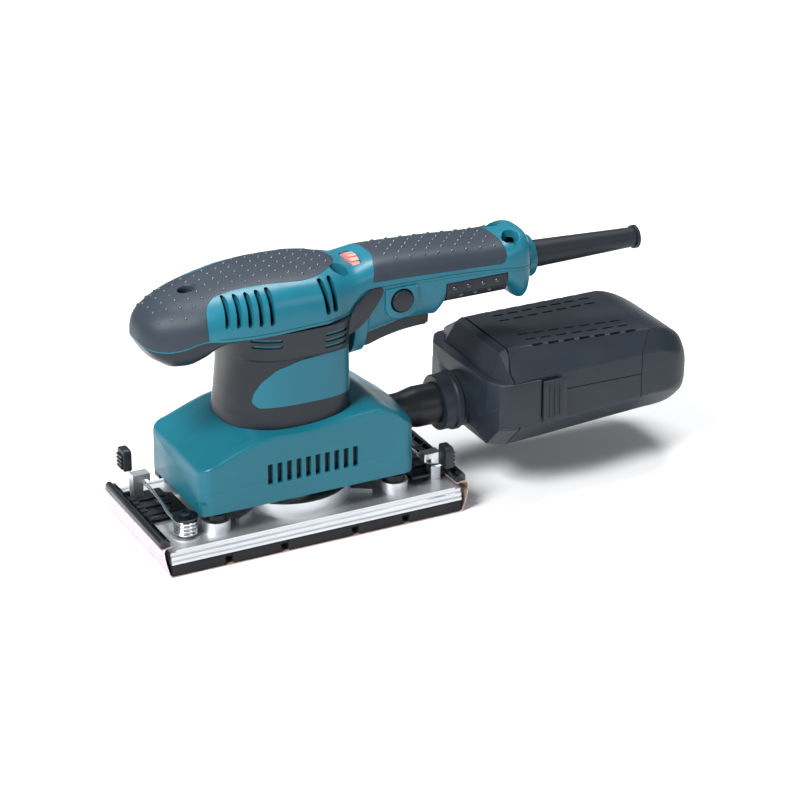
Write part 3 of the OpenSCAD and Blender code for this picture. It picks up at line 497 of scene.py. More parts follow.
def squareness(x):
    """Exponent of the upper section: rounder over the front knob."""
    return 2.6 + 0.6 * min(1.0, max(0.0, (x + 60) / 30))


def stations(low, high, step=1.4):
    """Even places along a length, about a step apart."""
    return np.linspace(low, high, max(3, int(round((high - low) / step)) + 1))


def upper_ring(x, inset, drop):
    """Section above the parting line, as a closed ring."""
    w, base, top = half_width(x) - inset, parting(x), crown(x) - inset
    arc = superellipse(84, squareness(x))
    ring = np.stack([np.full(len(arc), x), w * arc[:, 0], base + (top - base) * arc[:, 1]], 1)
    ring[[0, -1], 2] -= drop
    return ring


def lower_ring(x, low, arc, inset, rise):
    """Section below the parting line, down to a height curve."""
    w, base = half_width(x) - inset, parting(x) - GAP
    ring = np.stack([np.full(len(arc), x), -w * arc[:, 0], base - (base - low(x) - inset) * arc[:, 1]], 1)
    ring[[0, -1], 2] += rise
    return ring


def upper_solid(name, inset, drop=0.0):
    low, high = NOSE + inset, TAIL - inset
    fine = np.array([0, 0.15, 0.3, 0.5, 0.8, 1.2, 1.7, 2.3, 3])
    xs = np.concatenate([low + fine, stations(low + 4, high - 4), high - fine[::-1]])
    return loft(name, [upper_ring(x, inset, drop) for x in xs])


def height_at(x, y):
    """Height of the top surface."""
    p = squareness(x)
    return parting(x) + (crown(x) - parting(x)) * max(0.0, 1 - abs(y / half_width(x)) ** p) ** (1 / p)


def width_at(x, z):
    """Half-width of the top cover at a height."""
    p = squareness(x)
    return half_width(x) * max(0.0, 1 - abs((z - parting(x)) / (crown(x) - parting(x))) ** p) ** (1 / p)


HEAD_EDGE = [[-60, -31], [-58.6, -26], [-56.8, -23.2], [-54, -20.6], [-50, -18.9], [-44, -18.9], [-36, -19.8],
             [-26, -21.6], [-10, -24], [2, -24.8], [11, -22.8], [19, -18], [27, -10], [31, 0]]
half_edge = spline(HEAD_EDGE, 80)
head_edge = np.vstack([[[-110, -50], [-60, -50]], half_edge, half_edge[-2::-1] * [1, -1],
                       [[-60, 50], [-110, 50]]])
handle_edge = rounded([[46.4, 146.3], [132.4, 142.3], [134.6, 146], [134.6, 175], [58.5, 175], [56.5, 160.5],
                       [49.6, 155.8]], [1.5, 4, 3, 1, 1, 5, 5])


def grown(outline, g):
    """Closed outline moved outwards by g."""
    way = np.roll(outline, -1, 0) - np.roll(outline, 1, 0)
    normal = np.stack([way[:, 1], -way[:, 0]], 1) / np.linalg.norm(way, axis=1)[:, None]
    return outline + g * normal


def above_parting(up):
    """Everything over the parting line, lifted by up."""
    front, rear = -120.0, 200.0
    line = [[x, parting(x) + up] for x in stations(front, rear, 1.0)]
    return prism("above", line + [[rear, 230], [front, 230]], "y", -80, 80)


SCREWS = [(-60, 0, 147), (28, -17.5, 144), (28, 17.5, 144), (141, -12.5, 143), (141, 12.5, 143)]
RECESS_R = 4.7
DROP_SHAPE = [[141.7, 4.7], [144.3, 6.2], [145.4, 9], [144.8, 12.4], [143.2, 16], [141.7, 18.6], [140.2, 16],
              [138.6, 12.4], [138, 9], [139.1, 6.2]]


def recess(x, y, z):
    """Screw recess with an eased mouth."""
    mouth = height_at(x, y)
    slope = (height_at(x, y + 2) - height_at(x, y - 2)) / 4
    drop = 4.6 * abs(slope)
    return lathe("recess", [[z, RECESS_R - 0.5], [z + 0.6, RECESS_R - 0.2], [mouth - drop - 1.2, RECESS_R],
                            [mouth - drop, RECESS_R + 0.25], [mouth + drop + 1, RECESS_R + 1.5],
                            [180, RECESS_R + 1.6]], "z", (x, y, 0), 40)


def louvre(top, low, through):
    """Cutter for one louvre on the near side: a slanting pocket, or the slot at its back."""
    wide, lean = 1.45, 1.3
    (x0, z0), (x1, z1) = top, low
    zs = np.concatenate([z0 + wide * np.cos(np.linspace(0.1, math.pi / 2, 6)),
                         np.linspace(z0, z1, 9)[1:-1],
                         z1 - wide * np.sin(np.linspace(0, math.pi / 2 - 0.1, 6))])
    rings = []
    for z in zs:
        over = max(z - z0, z1 - z, 0)
        k = math.sqrt(max(0.02, 1 - (over / wide) ** 2))
        x = x0 + (x1 - x0) * (z0 - z) / (z0 - z1)
        y = width_at(x, z)
        deep = 12 if through else 2.3
        front = -0.55 * wide if through else -wide - lean
        rings.append([[x + front * k, -y - 1.5, z], [x + wide * k, -y - 1.5, z], [x + wide * k, -y + deep, z],
                      [x + (front if through else -0.45 * wide) * k, -y + deep, z]])
    return loft("louvre", rings)


LOUVRES = [((-46.7 + 6.3 * i, 153.6 + 0.5 * i), (-48.8 + 6.7 * i, 141.4 - 0.6 * i)) for i in range(5)]
LOUVRES += [((11 + 6.8 * i, 155.2 - 0.3 * i), (12.9 + 5.5 * i, 139)) for i in range(2)]

FIN = [[26.4, 120.4], [30.5, 120.8], [34.9, 121.7], [39.5, 123.9], [42.7, 126], [45.7, 129.1], [48.6, 132.6],
       [50.8, 135.7], [52.5, 138.6], [52.7, 141.8], [49, 142.5], [45.6, 142.5], [42.6, 141.7], [37.6, 138.3],
       [33.7, 136.1], [30.6, 133], [28.6, 129.9], [26.4, 124]]
LEAF_Y = [[20, 31.8], [26, 30.5], [30, 29], [34, 27.4], [38, 26], [42, 25], [46, 24.2], [50, 23.7],
          [60, 23.2]]
leaf_edge = spline(FIN, 72, True)


def leaves(g=0.0):
    """Both leaf-shaped inserts behind the head, following the shell, grown by g."""
    outer = [[x, -y - g] for x, y in LEAF_Y]
    inner = [[x, 2.6 + g - y] for x, y in LEAF_Y[::-1]]
    side = prism("side_inserts", grown(leaf_edge, g), "y", -45, 0)
    leaf = meet(side, prism("layer", outer + inner, "z", 100, 160))
    return mirrored(leaf if g else bake(edge(leaf, 0.5, 3, 45)))


cover = upper_solid("top_cover", 0)
cover = cut(cover, upper_solid("hollow", WALL + 1.2, 1))
COLLAR = [[150, COLLAR_R], [154.5, COLLAR_R], [154.7, COLLAR_R - 0.4], [155.1, COLLAR_R - 0.4],
          [155.3, COLLAR_R], [COLLAR_END - 0.8, COLLAR_R], [COLLAR_END - 0.2, COLLAR_R - 0.3],
          [COLLAR_END, COLLAR_R - 0.8]]


def collar_half(low, high):
    """Collar round the cord guard between two heights."""
    collar = lathe("collar", COLLAR, "x", (0, 0, COLLAR_Z))
    return meet(collar, block("half", (149, -30, low), (175, 30, high)))


def guard_bore():
    return lathe("bore", [[144, BUSH_R], [175, BUSH_R]], "x", (0, 0, COLLAR_Z))


cover = fuse(cover, collar_half(COLLAR_Z, 170))
BOSS_R = 5.4
bosses = group("bosses", *[lathe("boss", [[z - 10, BOSS_R], [170, BOSS_R]], "z", (x, y, 0), 32)
                           for x, y, z in SCREWS])
cover = fuse(cover, meet(bosses, upper_solid("limit", 0.3)))
# Seats of the two overmoulds
HEAD_SPAN, HANDLE_SPAN, HEAD_UP = ("z", 120, 200), ("y", -40, 40), 0.9
for outline, span, up in ((head_edge, HEAD_SPAN, HEAD_UP), (handle_edge, HANDLE_SPAN, 0)):
    layer = prism("layer", grown(outline, GAP), *span)
    if up:
        layer = meet(layer, above_parting(up - GAP))
    cover = cut(cover, cut(layer, upper_solid("under", SKIN + GAP, 6)))
cover = cut(cover, *[recess(*s) for s in SCREWS])
cover = cut(cover, mirrored(prism("drop", spline(DROP_SHAPE, 60, True), "z", 148.6, 175)))
for through in (False, True):
    pockets = group("pockets", *[louvre(a, b, through) for a, b in LOUVRES])
    cover = cut(cover, mirrored(pockets))
# Speed dial: a window in a shallow dish
dial_low, dial_high = cad("speed_dial")
window = rounded(rectangle(dial_low[0] - 0.7, dial_low[1] + 2.8, dial_high[0] + 0.7, dial_high[1] - 2), 1.6)
cover = cut(cover, prism("window", window, "z", 140, 175))
dish = lathe("dish", [[-10.4, 6.5], [-8.8, 9.2], [0, 10.2], [8.8, 9.2], [10.4, 6.5]], "y",
             ((dial_low[0] + dial_high[0]) / 2, (dial_low[1] + dial_high[1]) / 2, 165))
cover = cut(cover, dish)
# Groove along the lower edge, behind the nose
line = cut(upper_solid("line", -1), upper_solid("core", 0.35, 3),
           block("front", (-110, -60, 100), (-54, 60, 180)))
line = meet(line, cut(above_parting(1.5), above_parting(1.95)))
cover = cut(cover, line, guard_bore(), block("below", (150, -30, 110), (175, 30, COLLAR_Z)), leaves(GAP))
finish_piece(cover, "housing", teal, ["upper_cover"])
# Dark sleeve in the front screw recess
screw_x, screw_y, screw_z = SCREWS[0]
sleeve_top = crown(screw_x) - 1.8
sleeve = lathe("recess_sleeve", [[screw_z, RECESS_R - 0.05], [sleeve_top, RECESS_R - 0.02]], "z",
               (screw_x, screw_y, 0), 48)
sleeve = cut(sleeve, lathe("hole", [[screw_z - 1, RECESS_R - 0.3], [sleeve_top + 1, RECESS_R - 0.3]], "z",
                           (screw_x, screw_y, 0), 48))
finish_piece(sleeve, "housing", black)


def dimples(points, r):
    """Small raised domes; each point is a place and a direction."""
    verts, faces = [], []
    around, up = 12, 4
    for place, normal in points:
        n = np.array(normal, float)
        n /= np.linalg.norm(n)
        a = np.cross(n, [0.3, 1, 0.2])
        a /= np.linalg.norm(a)
        b = np.cross(n, a)
        base = len(verts)
        for i in range(up + 1):
            lift = math.radians(-25 + 115 * i / up)
            for j in range(around):
                t = 2 * math.pi * j / around
                q = math.cos(lift) * (math.cos(t) * a + math.sin(t) * b) + 0.65 * math.sin(lift) * n
                verts.append(np.array(place) + r * q)
        for i in range(up):
            for j in range(around):
                k, l = base + i * around, base + (i + 1) * around
                faces.append([k + j, k + (j + 1) % around, l + (j + 1) % around, l + j])
        faces.append([base + j for j in range(around)][::-1])
        faces.append([base + up * around + j for j in range(around)])
    obj = piece("dimples", verts, faces)
    # Every dome takes the second material, whose lighter colour is a painted highlight
    obj.data.polygons.foreach_set("material_index", [1] * len(obj.data.polygons))
    return obj


def top_points(cells):
    """Places and normals on the top surface, for dimples."""
    out = []
    for x, y in cells:
        e = 0.5
        dx = (height_at(x + e, y) - height_at(x - e, y)) / (2 * e)
        dy = (height_at(x, y + e) - height_at(x, y - e)) / (2 * e)
        out.append(((x, y, height_at(x, y)), (-dx, -dy, 1)))
    return out


def inside_head(x, y):
    """Whether a dimple fits on the head, clear of its rim and of the screws."""
    edge_y = np.interp(x, half_edge[:, 0], -half_edge[:, 1])
    near_tip = x > -86 and abs(y) < 0.80 * half_width(x)
    clear = min(math.hypot(x - a, y - b) for a, b, _ in SCREWS) > RECESS_R + 2.6
    return near_tip and clear and x < 27 and abs(y) < edge_y - 2.4


head_cells = [(-83 + 6.67 * i, 3.85 * (2 * j + i % 2)) for i in range(18) for j in range(-5, 6)]
handle_cells = [(60 + 9.2 * i + 4.6 * (j % 2), 5.2 * j) for i in range(8) for j in range(-3, 4)]


def overmould(name, outline, span, limits, holes, cells, r):
    """Soft skin on the cover inside an outline, dimpled on top."""
    skin = meet(upper_solid(name, 0), prism("outline", outline, *span), *limits)
    skin = bake(edge(cut(skin, upper_solid("under", SKIN, 6), *holes), 0.35, 2, 50))
    skin = group(name, skin, dimples(top_points(cells), r))
    finish_piece(skin, "housing", [grip, grip_domes_painted_glint], [name])


overmould("grip_overmould", head_edge, HEAD_SPAN, [above_parting(HEAD_UP)],
          [recess(*s) for s in SCREWS[:3]], [c for c in head_cells if inside_head(*c)], 1.0)
overmould("handle_overmould", handle_edge, HANDLE_SPAN, [], [], handle_cells, 1.05)

# ---- lower handle ----
PIN_X, PIN_Z, PIN_HOLE_R = 48.5, 114.5, 1.55
LOCK_X, LOCK_Z, LOCK_HOLE_R = 65, 132, 7.4


def low_solid(name, low, arc, inset, rise, start, stop, step=1.0):
    """Solid below the parting line between two places."""
    return loft(name, [lower_ring(x, low, arc, inset, rise) for x in stations(start, stop, step)])


handle = low_solid("lower_handle", handle_low, LOW_ARC, 0, 0, 34, TAIL, 0.5)
RING_R, RING_TOP = 10.4, 140
ring_box = rectangle(LOCK_X - RING_R, LOCK_Z - RING_R, LOCK_X + RING_R, RING_TOP)
u_ring = rounded(ring_box, [10.3, 10.3, 0.6, 0.6], 14)
handle = fuse(handle, edge(prism("u_ring", u_ring, "y", -23.4, -17), 0.5, 3),
              collar_half(110, COLLAR_Z - 0.15))
handle = cut(handle, low_solid("hollow", handle_low, LOW_ARC, WALL, 1, 36, TAIL - WALL))
well = rounded(rectangle(44, 96, 90.2, 127), 1)
handle = cut(handle, prism("well", well, "y", -9.4, 9.4),
             prism("lock_hole", circle(LOCK_HOLE_R, (LOCK_X, LOCK_Z), 56), "y", -40, -10),
             guard_bore(), leaves(GAP))
seat = [[20.1, 136.4], [20, 130.1], [17.4, 126.4], [13, 124.8], [-13, 124.8], [-17.4, 126.4], [-20, 130.1],
        [-20.1, 136.4]]
seat_cut = [[-30, 110], [30, 110], [30, 136.4]] + seat + [[-30, 136.4]]
handle = cut(handle, prism("seat", seat_cut, "x", 94.35, 135.25))
finish_piece(handle, "housing", teal, ["lower_handle"])

insert_out = rounded([[-22, 136.2], [-22, 129.6], [-19.5, 124.6], [-14, 122.4], [14, 122.4], [19.5, 124.6],
                      [22, 129.6], [22, 136.2]], [0.8, 4, 4, 4, 4, 4, 4, 0.8])
insert_hole = grown(np.array([[20.1, 142], [-20.1, 142]] + seat[::-1]), 0.15)
insert = cut(prism("lower_grip_insert", insert_out, "x", 94.8, 134.6),
             prism("hole", insert_hole, "x", 90, 140))
bake(edge(insert, 0.9, 3, 45))
bumps = [((100 + 9.3 * i, -21.9, 132.4), (0, -1, 0)) for i in range(4)]
bumps += [((104.6 + 9.3 * i, -20.8, 127.3), (0, -0.9, -0.4)) for i in range(3)]
bumps += [((x, -y, z), (a, -b, c)) for (x, y, z), (a, b, c) in bumps]
insert = group("lower_grip_insert", insert, dimples(bumps, 1.5))
finish_piece(insert, "housing", [rubber, rubber_domes_painted_glint], ["lower_grip_insert"])

finish_piece(leaves(), "housing", dark, ["side_inserts"])

# ---- neck, lower knob and side panels ----
NECK_RING = oval(120, 2.4, 4.2)
STEP_Z, STEP_OUT = 113.5, 1.5
SIDE = ("y", -60, -20)


def neck_ring(z, grow, step):
    """Section of the neck; the step widens it under the head."""
    a, b, h = neck_front(z) - grow, neck_rear(z) + grow, neck_half(z) + grow
    if step:
        h += STEP_OUT / (1 + math.exp(-(z - STEP_Z) / 0.4))
    x = (a + b) / 2 + (b - a) / 2 * NECK_RING[:, 0]
    return np.stack([x, h * NECK_RING[:, 1], np.full(len(NECK_RING), z)], 1)


def neck_solid(name, grow, low, high, step=True):
    return loft(name, [neck_ring(z, grow, step) for z in stations(low, high, 0.6)])


SLOTS = [((-33, z), (-17, z)) for z in (123, 127)] + [((11, z), (24, z)) for z in (118, 122, 126)]
BADGE = [[-31.8, 88], [-30.4, 93.5], [-26.6, 100.4], [-18.3, 107.8], [-4.4, 112], [11, 113], [28, 113],
         [28, 85.3], [10, 85.1], [-14, 85.3], [-28.8, 84.8]]
badge_edge = rounded(BADGE, [3, 6, 10, 12, 12, 8, 1, 1, 8, 10, 3], 8)

housing = neck_solid("motor_housing", 0, 65.3, 131.5 - GAP)
knob = low_solid("knob", knob_low, KNOB_ARC, 0, 0, -91, -38, 0.5)
housing = fuse(housing, knob)
housing = cut(housing, neck_solid("hollow", -3, 60, 133),
              low_solid("inside", knob_low, KNOB_ARC, 3, 2, -87, -34), leaves(GAP))
for a, b in SLOTS:
    housing = cut(housing, mirrored(prism("slot", stadium(a, b, 1.0), "y", -60, -26)))
badge_cut = cut(prism("badge", grown(badge_edge, 0.15), *SIDE), neck_solid("core", -1.4, 80, 120, step=False))
housing = cut(housing, mirrored(badge_cut))
finish_piece(housing, "housing", dark, ["motor_housing"], 32)

badge = meet(prism("badge_panels", badge_edge, *SIDE), neck_solid("skin", 0.35, 81, 119, step=False))
badge = cut(badge, neck_solid("core", -1.3, 80, 120, step=False))
badge = mirrored(bake(edge(badge, 0.3, 2, 50)))
finish_piece(badge, "housing", teal, ["badge_panels"])

# Teal strips at the bottom of the neck slots
strips = cut(neck_solid("slot_strips", -0.9, 110, 131), neck_solid("core", -2.2, 105, 135))
bars = [prism("bar", stadium(a, b, 0.85), *SIDE) for a, b in SLOTS]
strips = meet(strips, mirrored(group("bars", *bars)))
finish_piece(strips, "housing", teal)

# ---- skirt ----
SKIRT_FRONT, SKIRT_REAR, SKIRT_HALF, SKIRT_LOW = -70, 66.5, 39, 29.5
CORNER_R = 8.0
NOZZLE_Z = 51
SLOT_HALF, SLOT_LOW, SLOT_HIGH = 1.65, 41.2, 53.8


def duct(name, profile):
    """A profile turned about the dust nozzle's axis."""
    return lathe(name, profile, "x", (0, 0, NOZZLE_Z))


def skirt_ring(x, inset):
    """Section of the skirt, with the plan's corners rounded."""
    xs = min(max(x, SKIRT_FRONT + 0.05), SKIRT_REAR - 0.05)
    d = max(0.0, CORNER_R - min(xs - SKIRT_FRONT, SKIRT_REAR - xs))
    h = SKIRT_HALF - CORNER_R + math.sqrt(max(0.0, CORNER_R**2 - d * d)) - inset
    k = h / SKIRT_HALF
    c, s, r = float(crease(x)) - inset, float(shoulder(x)) - inset, float(ridge(x)) - inset
    low = SKIRT_LOW - (1 if inset else 0)
    half = [[h, low], [h, 41.9], [h - 0.4, 42.5], [h - 0.4, c], [33 * k, s], [17 * k, (s + 2 * r) / 3]]
    ring = rounded(half + [[0, r]] + [[-y, z] for y, z in half[::-1]],
                   [0.3, 0.3, 0.3, 2.2, 1.5, 6, 4, 6, 1.5, 2.2, 0.3, 0.3, 0.3], 6)
    return np.column_stack([np.full(len(ring), x), ring])


def skirt_solid(name, inset):
    """The skirt's outer shape, moved inwards by inset."""
    a, b = SKIRT_FRONT + inset, SKIRT_REAR - inset
    bend = CORNER_R * (1 - np.cos(np.linspace(0, math.pi / 2, 12)))
    xs = np.concatenate([a + bend, stations(a + CORNER_R + 1, b - CORNER_R - 1, 1.6), b - bend[::-1]])
    return loft(name, [skirt_ring(x, inset) for x in xs])


skirt = skirt_solid("base_skirt", 0)
skirt = cut(skirt, skirt_solid("hollow", 3), neck_solid("neck_hole", 0.15, 58, 100, step=False))
slots = []
for x in range(-27, 28, 6):
    slot = rectangle(x - SLOT_HALF, SLOT_LOW, x + SLOT_HALF, SLOT_HIGH)
    slots.append(prism("slot", rounded(slot, 0.6), "y", -50, -30))
socket = [[50, 10.65], [80, 10.65]]
skirt = cut(skirt, mirrored(group("slots", *slots)), duct("socket", socket))
skirt = cut(skirt, block("notch", (-80, -39.5, 20), (-66.5, -31, 36.5)))
skirt = fuse(skirt, block("notch_wall", (-69.4, -38.2, 29.5), (-65, -30, 37)))
finish_piece(skirt, "housing", teal_skirt, ["base_skirt"], 24)

# Black sheet inside the skirt, painted shade seen through the slots
slot_shade_sheet = cut(skirt_solid("skirt_slot_shade", 3.2), skirt_solid("core", 3.9),
            neck_solid("neck_hole", 0.5, 58, 100, step=False), duct("socket", socket),
            block("below", (-90, -50, 20), (90, 50, 31.5)))
finish_piece(slot_shade_sheet, "housing", black)

# ---- dust box ----
LATCH_X, LATCH_Z = 154, 61.5


def box_ring(row, inset):
    """Upright section of the box.

    A row holds x, half-width, low, high, roof chamfer across and down, lower chamfer and rounding.
    """
    x, half, low, high, across, down, under = row[:7]
    soft = row[7] if len(row) > 7 else 2.6
    h, low, high = half - inset, low + inset, high - inset
    across, down, under = across - 0.6 * inset, down - 0.6 * inset, under - 0.6 * inset
    side = [[h - under, low], [h, low + under], [h, high - down], [h - across, high]]
    ring = rounded(side + [[-y, z] for y, z in side[::-1]], soft, 6)
    return np.column_stack([np.full(len(ring), x), ring])


def box_loft(name, rows, inset=0.0):
    return loft(name, [box_ring(row, inset) for row in rows])


CHAMFERS = [18.5, 13.5, 17]
CAP_ROWS = [[113.5, 33, 40, 62, 9, 9, 9], [119, 43, 31, 72.5, 13, 12, 15],
            [127, 45.2, 28.4, 88.4] + CHAMFERS, [131.2, 45.6, 28.2, 90.2] + CHAMFERS]
CAP_HOLLOW = [[116, 34, 42, 62, 9, 9, 9], [119.5, 43, 32, 72.5, 13, 12, 15],
              [127.5, 45.2, 28.6, 87.4] + CHAMFERS, [132, 45.6, 28.2, 89.2] + CHAMFERS]
BODY_ROWS = [[126, 45.4, 27.9, 90] + CHAMFERS, [131.5, 45.4, 27.9, 90] + CHAMFERS,
             [150, 45, 28.4, 89.8, 17, 13.3, 17], [227, 42.4, 31.2, 87.2, 9.5, 11, 17]]
BOX_END = 255.0
# Seams seen from the side, as [x, z]: cap against box, and box against its rear end
CAP_SEAM = [[132, 100], [132, 88.8], [127.4, 80], [127.4, 60], [131.3, 50], [131.3, 10]]
END_SEAM = [[227, 100], [227, 87.6], [216.4, 76], [216.4, 10]]


def behind(seam, back=0.0):
    """Everything behind a seam, for a cut or a meeting."""
    return prism("behind", [[x + back, z] for x, z in seam] + [[300, 10], [300, 100]], "y", -60, 60)


def end_rows(length):
    """Rounded rear end, length long."""
    start = BODY_ROWS[-1][0]
    rows = []
    for a in np.radians(np.linspace(4, 88, 29)):
        s = math.sin(a)
        wide, low, high = ((1 - s**p) ** (1 / p) for p in (3.3, 2.9, 1.45))
        k = 0.7 + 0.3 * math.cos(a)
        rows.append([start + length * s, 17 + 25.4 * wide, 34 - 2.8 * low, 72 + 15.2 * high,
                     9.5 * k, 11 * k, 17 * k, 2.6 + 24 * s**2])
    return rows


def box_shell(name):
    """Thin-walled box from the cap to the rear end."""
    length = BOX_END - BODY_ROWS[-1][0]
    inside = [[124] + BODY_ROWS[0][1:]] + BODY_ROWS[1:] + end_rows(length - 2.3)
    return cut(box_loft(name, BODY_ROWS + end_rows(length)), box_loft("inside", inside, 2.2))


cap = box_loft("dust_box_cap", CAP_ROWS)
CAP_COLLAR = [[98, 16.2], [98.6, 17], [105.4, 17], [106, 17.8], [106.6, 18.2], [109.4, 18.2],
              [110, 17.8], [110.6, 17], [116, 17]]
collar = duct("collar", CAP_COLLAR)
cap = cut(cap, behind(CAP_SEAM))
band_plan = [[114.6, -34], [121.5, -46.2], [145, -47.2], [145, 47.2], [121.5, 46.2], [114.6, 34]]
band = prism("band", rounded(band_plan, [6, 9, 0.3, 0.3, 9, 6], 9), "z", 46.5, 75)
band = cut(bake(edge(band, 1.2, 3, 50)), block("inside", (127, -43.4, 40), (150, 43.4, 80)))
cap = fuse(cap, collar, band)
cap = cut(cap, box_loft("hollow", CAP_HOLLOW, 2.4),
          duct("bore", [[90, 12.8], [121, 12.8]]),
          duct("groove", [[100, 14.6], [104, 14.6]]),
          mirrored(block("slide", (131.3, -45.8, 30), (150, -38, 80))),
          mirrored(block("upper_slide", (127.4, -45.8, 60), (132, -38, 80))))
finish_piece(cap, "dust_cap", box_plastic, ["dust_box_cap"], 30)

tray = cut(meet(box_shell("dust_box_body"), behind(CAP_SEAM, 0.7)), behind(END_SEAM))
vents = []
for row in range(3):
    for i in range(7):
        x, y = 148.6 + 10.3 * i + 0.5 * row, -11.6 - 8.3 * row - 0.6 * i
        vents.append(prism("vent", stadium((x, y), (x + 5.8, y), 0.85, 6), "z", 80, 96))
latch_holes = prism("latch_hole", circle(2.7, (LATCH_X, LATCH_Z), 24), "y", -50, -30)
step_line = prism("step", [[162.6, 64.4], [216.4, 62.6], [216.4, 63.2], [162.6, 65]], "y", -60, 60)
step_line = meet(step_line, cut(box_loft("outside", BODY_ROWS[1:], -1), box_loft("core", BODY_ROWS[1:], 0.6)))
tray = cut(tray, mirrored(group("vents", *vents)), mirrored(latch_holes), step_line)
finish_piece(tray, "dust_box", box_plastic, ["dust_box_body"], 30)

end = meet(box_shell("dust_box_end"), behind(END_SEAM, 0.45))
finish_piece(end, "dust_box", box_plastic, ["dust_box_end"], 40)


def latch_piece(name, body, side):
    """Box latch on the far side (1) or the near side (-1)."""
    outline = rounded(rectangle(145.9, 47.5, 161.5, 74), [1, 3.5, 3.5, 1])
    plate = edge(prism("plate", outline, "y", 46.9, 48.6), 0.35)
    ribs = [prism("rib", stadium((x, 51), (x, 71), 0.7, 6), "y", 48.3, 49.2) for x in (150.3, 153.7, 157.1)]
    pin = lathe("pin", [[39.5, 3.6], [40.6, 3.6], [40.7, 2.5], [47.4, 2.5]], "y", (LATCH_X, 0, LATCH_Z),
                32)
    obj = fuse(bake(plate), group("ribs", *[bake(edge(r, 0.2, 1)) for r in ribs]), pin)
    obj.name = name
    if side < 0:
        obj.data.transform(Matrix.Scale(-1, 4, (0, 1, 0)))
        obj.data.flip_normals()
    finish_piece(obj, body, box_plastic, [name])


latch_piece("left_latch", "latch_left", -1)
latch_piece("right_latch", "latch_right", 1)

NOZZLE = [[61, 10.5], [74, 10.5], [76, 10.7], [83, 12.2], [85, 12.5], [115.4, 12.5], [116, 12]]
nozzle = duct("dust_nozzle", NOZZLE)
nozzle = cut(nozzle, duct("bore", [[60, 8.6], [76, 8.6], [84, 10.4], [117, 10.4]]))
finish_piece(nozzle, "housing", black, ["dust_nozzle"])

# ---- pad, paper, springs and clamps ----
PAD_HALF = cad("base_plate")[1][0]
PAD_SIDE, PAD_LOW, PAD_TOP, GROOVE_HALF = 46.2, 0.85, 7.95, 2.2
blocks = []
cuts = [-PAD_HALF, -57, -22, 23, 56, PAD_HALF]
for a, b in zip(cuts, cuts[1:]):
    x0, x1 = a + (GROOVE_HALF if a > -PAD_HALF else 0), b - (GROOVE_HALF if b < PAD_HALF else 0)
    blocks.append(edge(block("block", (x0, -PAD_SIDE, PAD_LOW), (x1, PAD_SIDE, PAD_TOP)), 0.7, 3))
web = block("web", (-PAD_HALF + 1, -45.6, 5.6), (PAD_HALF - 1, 45.6, PAD_TOP))
pad = group("rubber_pad", *[bake(b) for b in blocks], web)
finish_piece(pad, "pad", foam, ["rubber_pad"])

PAPER = [[0, 0.4], [84, 0.4], [91.5, 0.55], [93.1, 1.4], [94.1, 4], [95.2, 8], [96.3, 12], [96.7, 14.6],
         [95.6, 16.3], [93.4, 16.7], [91.4, 16.75]]
SHEET_HALF, SHEET_THICK, CURL_START = 46.5, 0.22, 42


def paper_sheet():
    """The clamped sheet: under the pad, up past each end and over the plate, a little wavy at its ends."""
    half = spline(PAPER, 150)
    line = np.vstack([half[::-1] * [-1, 1], half[1:]])
    tang = np.gradient(line, axis=0)
    normal = np.stack([tang[:, 1], -tang[:, 0]], 1) / np.linalg.norm(tang, axis=1)[:, None]
    free = np.clip((abs(line[:, 0]) - 91) / 4, 0, 1) * np.clip(1.4 - abs(line[:, 1] - 9) / 8, 0, 1)
    layers = []
    for off in (0.0, SHEET_THICK):
        rows = []
        for y in np.linspace(-SHEET_HALF, SHEET_HALF, 49):
            wave = 0.35 * math.sin(y / 9.5) + 0.22 * math.sin(y / 4.1 + 1.2)
            wave -= 0.5 * (abs(y) / SHEET_HALF) ** 6
            rear = 1.5 * math.exp(-((y + 40) / 7) ** 2)
            move = free * np.where(line[:, 0] > 0, wave + rear * 0.4, wave * 0.6)
            p = line + normal * (move + off)[:, None]
            curl = np.clip((abs(y) - CURL_START) / 4.5, 0, 1) ** 1.5 * np.clip((line[:, 1] - 9) / 7.5, 0, 1)
            p = p + curl[:, None] * np.array([0, 3.2])
            rows.append(np.column_stack([p[:, 0], np.full(len(p), y), p[:, 1]]))
        layers.append(np.array(rows))
    m, n = layers[0].shape[:2]
    verts = np.concatenate([a.reshape(-1, 3) for a in layers])
    cell = [[i * n + j, i * n + j + 1, (i + 1) * n + j + 1, (i + 1) * n + j]
            for i in range(m - 1) for j in range(n - 1)]
    faces = cell + [[v + m * n for v in f[::-1]] for f in cell]
    rim = [i * n for i in range(m)] + [(m - 1) * n + j for j in range(1, n)]
    rim += [i * n + n - 1 for i in range(m - 2, -1, -1)] + list(range(n - 2, 0, -1))
    faces += [[a, b, b + m * n, a + m * n] for a, b in zip(rim, rim[1:] + rim[:1])]
    obj = piece("sandpaper", verts, faces)
    return obj, len(cell)


paper, cells = paper_sheet()
finish_piece(paper, "pad", [grit, backing], ["sandpaper"], 60)
for f in paper.data.polygons[:cells]:
    f.material_index = 1

COIL_X, COIL_Y, COIL_R, WIRE_R = -76, -28, 5.9, 1.1
COIL_LOW, TURNS, PITCH = 16.8, 3.75, 2.3
ARM = [[-81.9, -22, 25.5], [-81.6, -14, 25.5], [-80.2, -4, 25.6], [-79.8, 10, 26.4], [-79.7, 26, 26.9],
       [-79.9, 31, 27.3], [-82, 35.5, 28.4], [-84.6, 38.6, 30.4], [-85.3, 40.6, 33], [-85.4, 41, 36]]


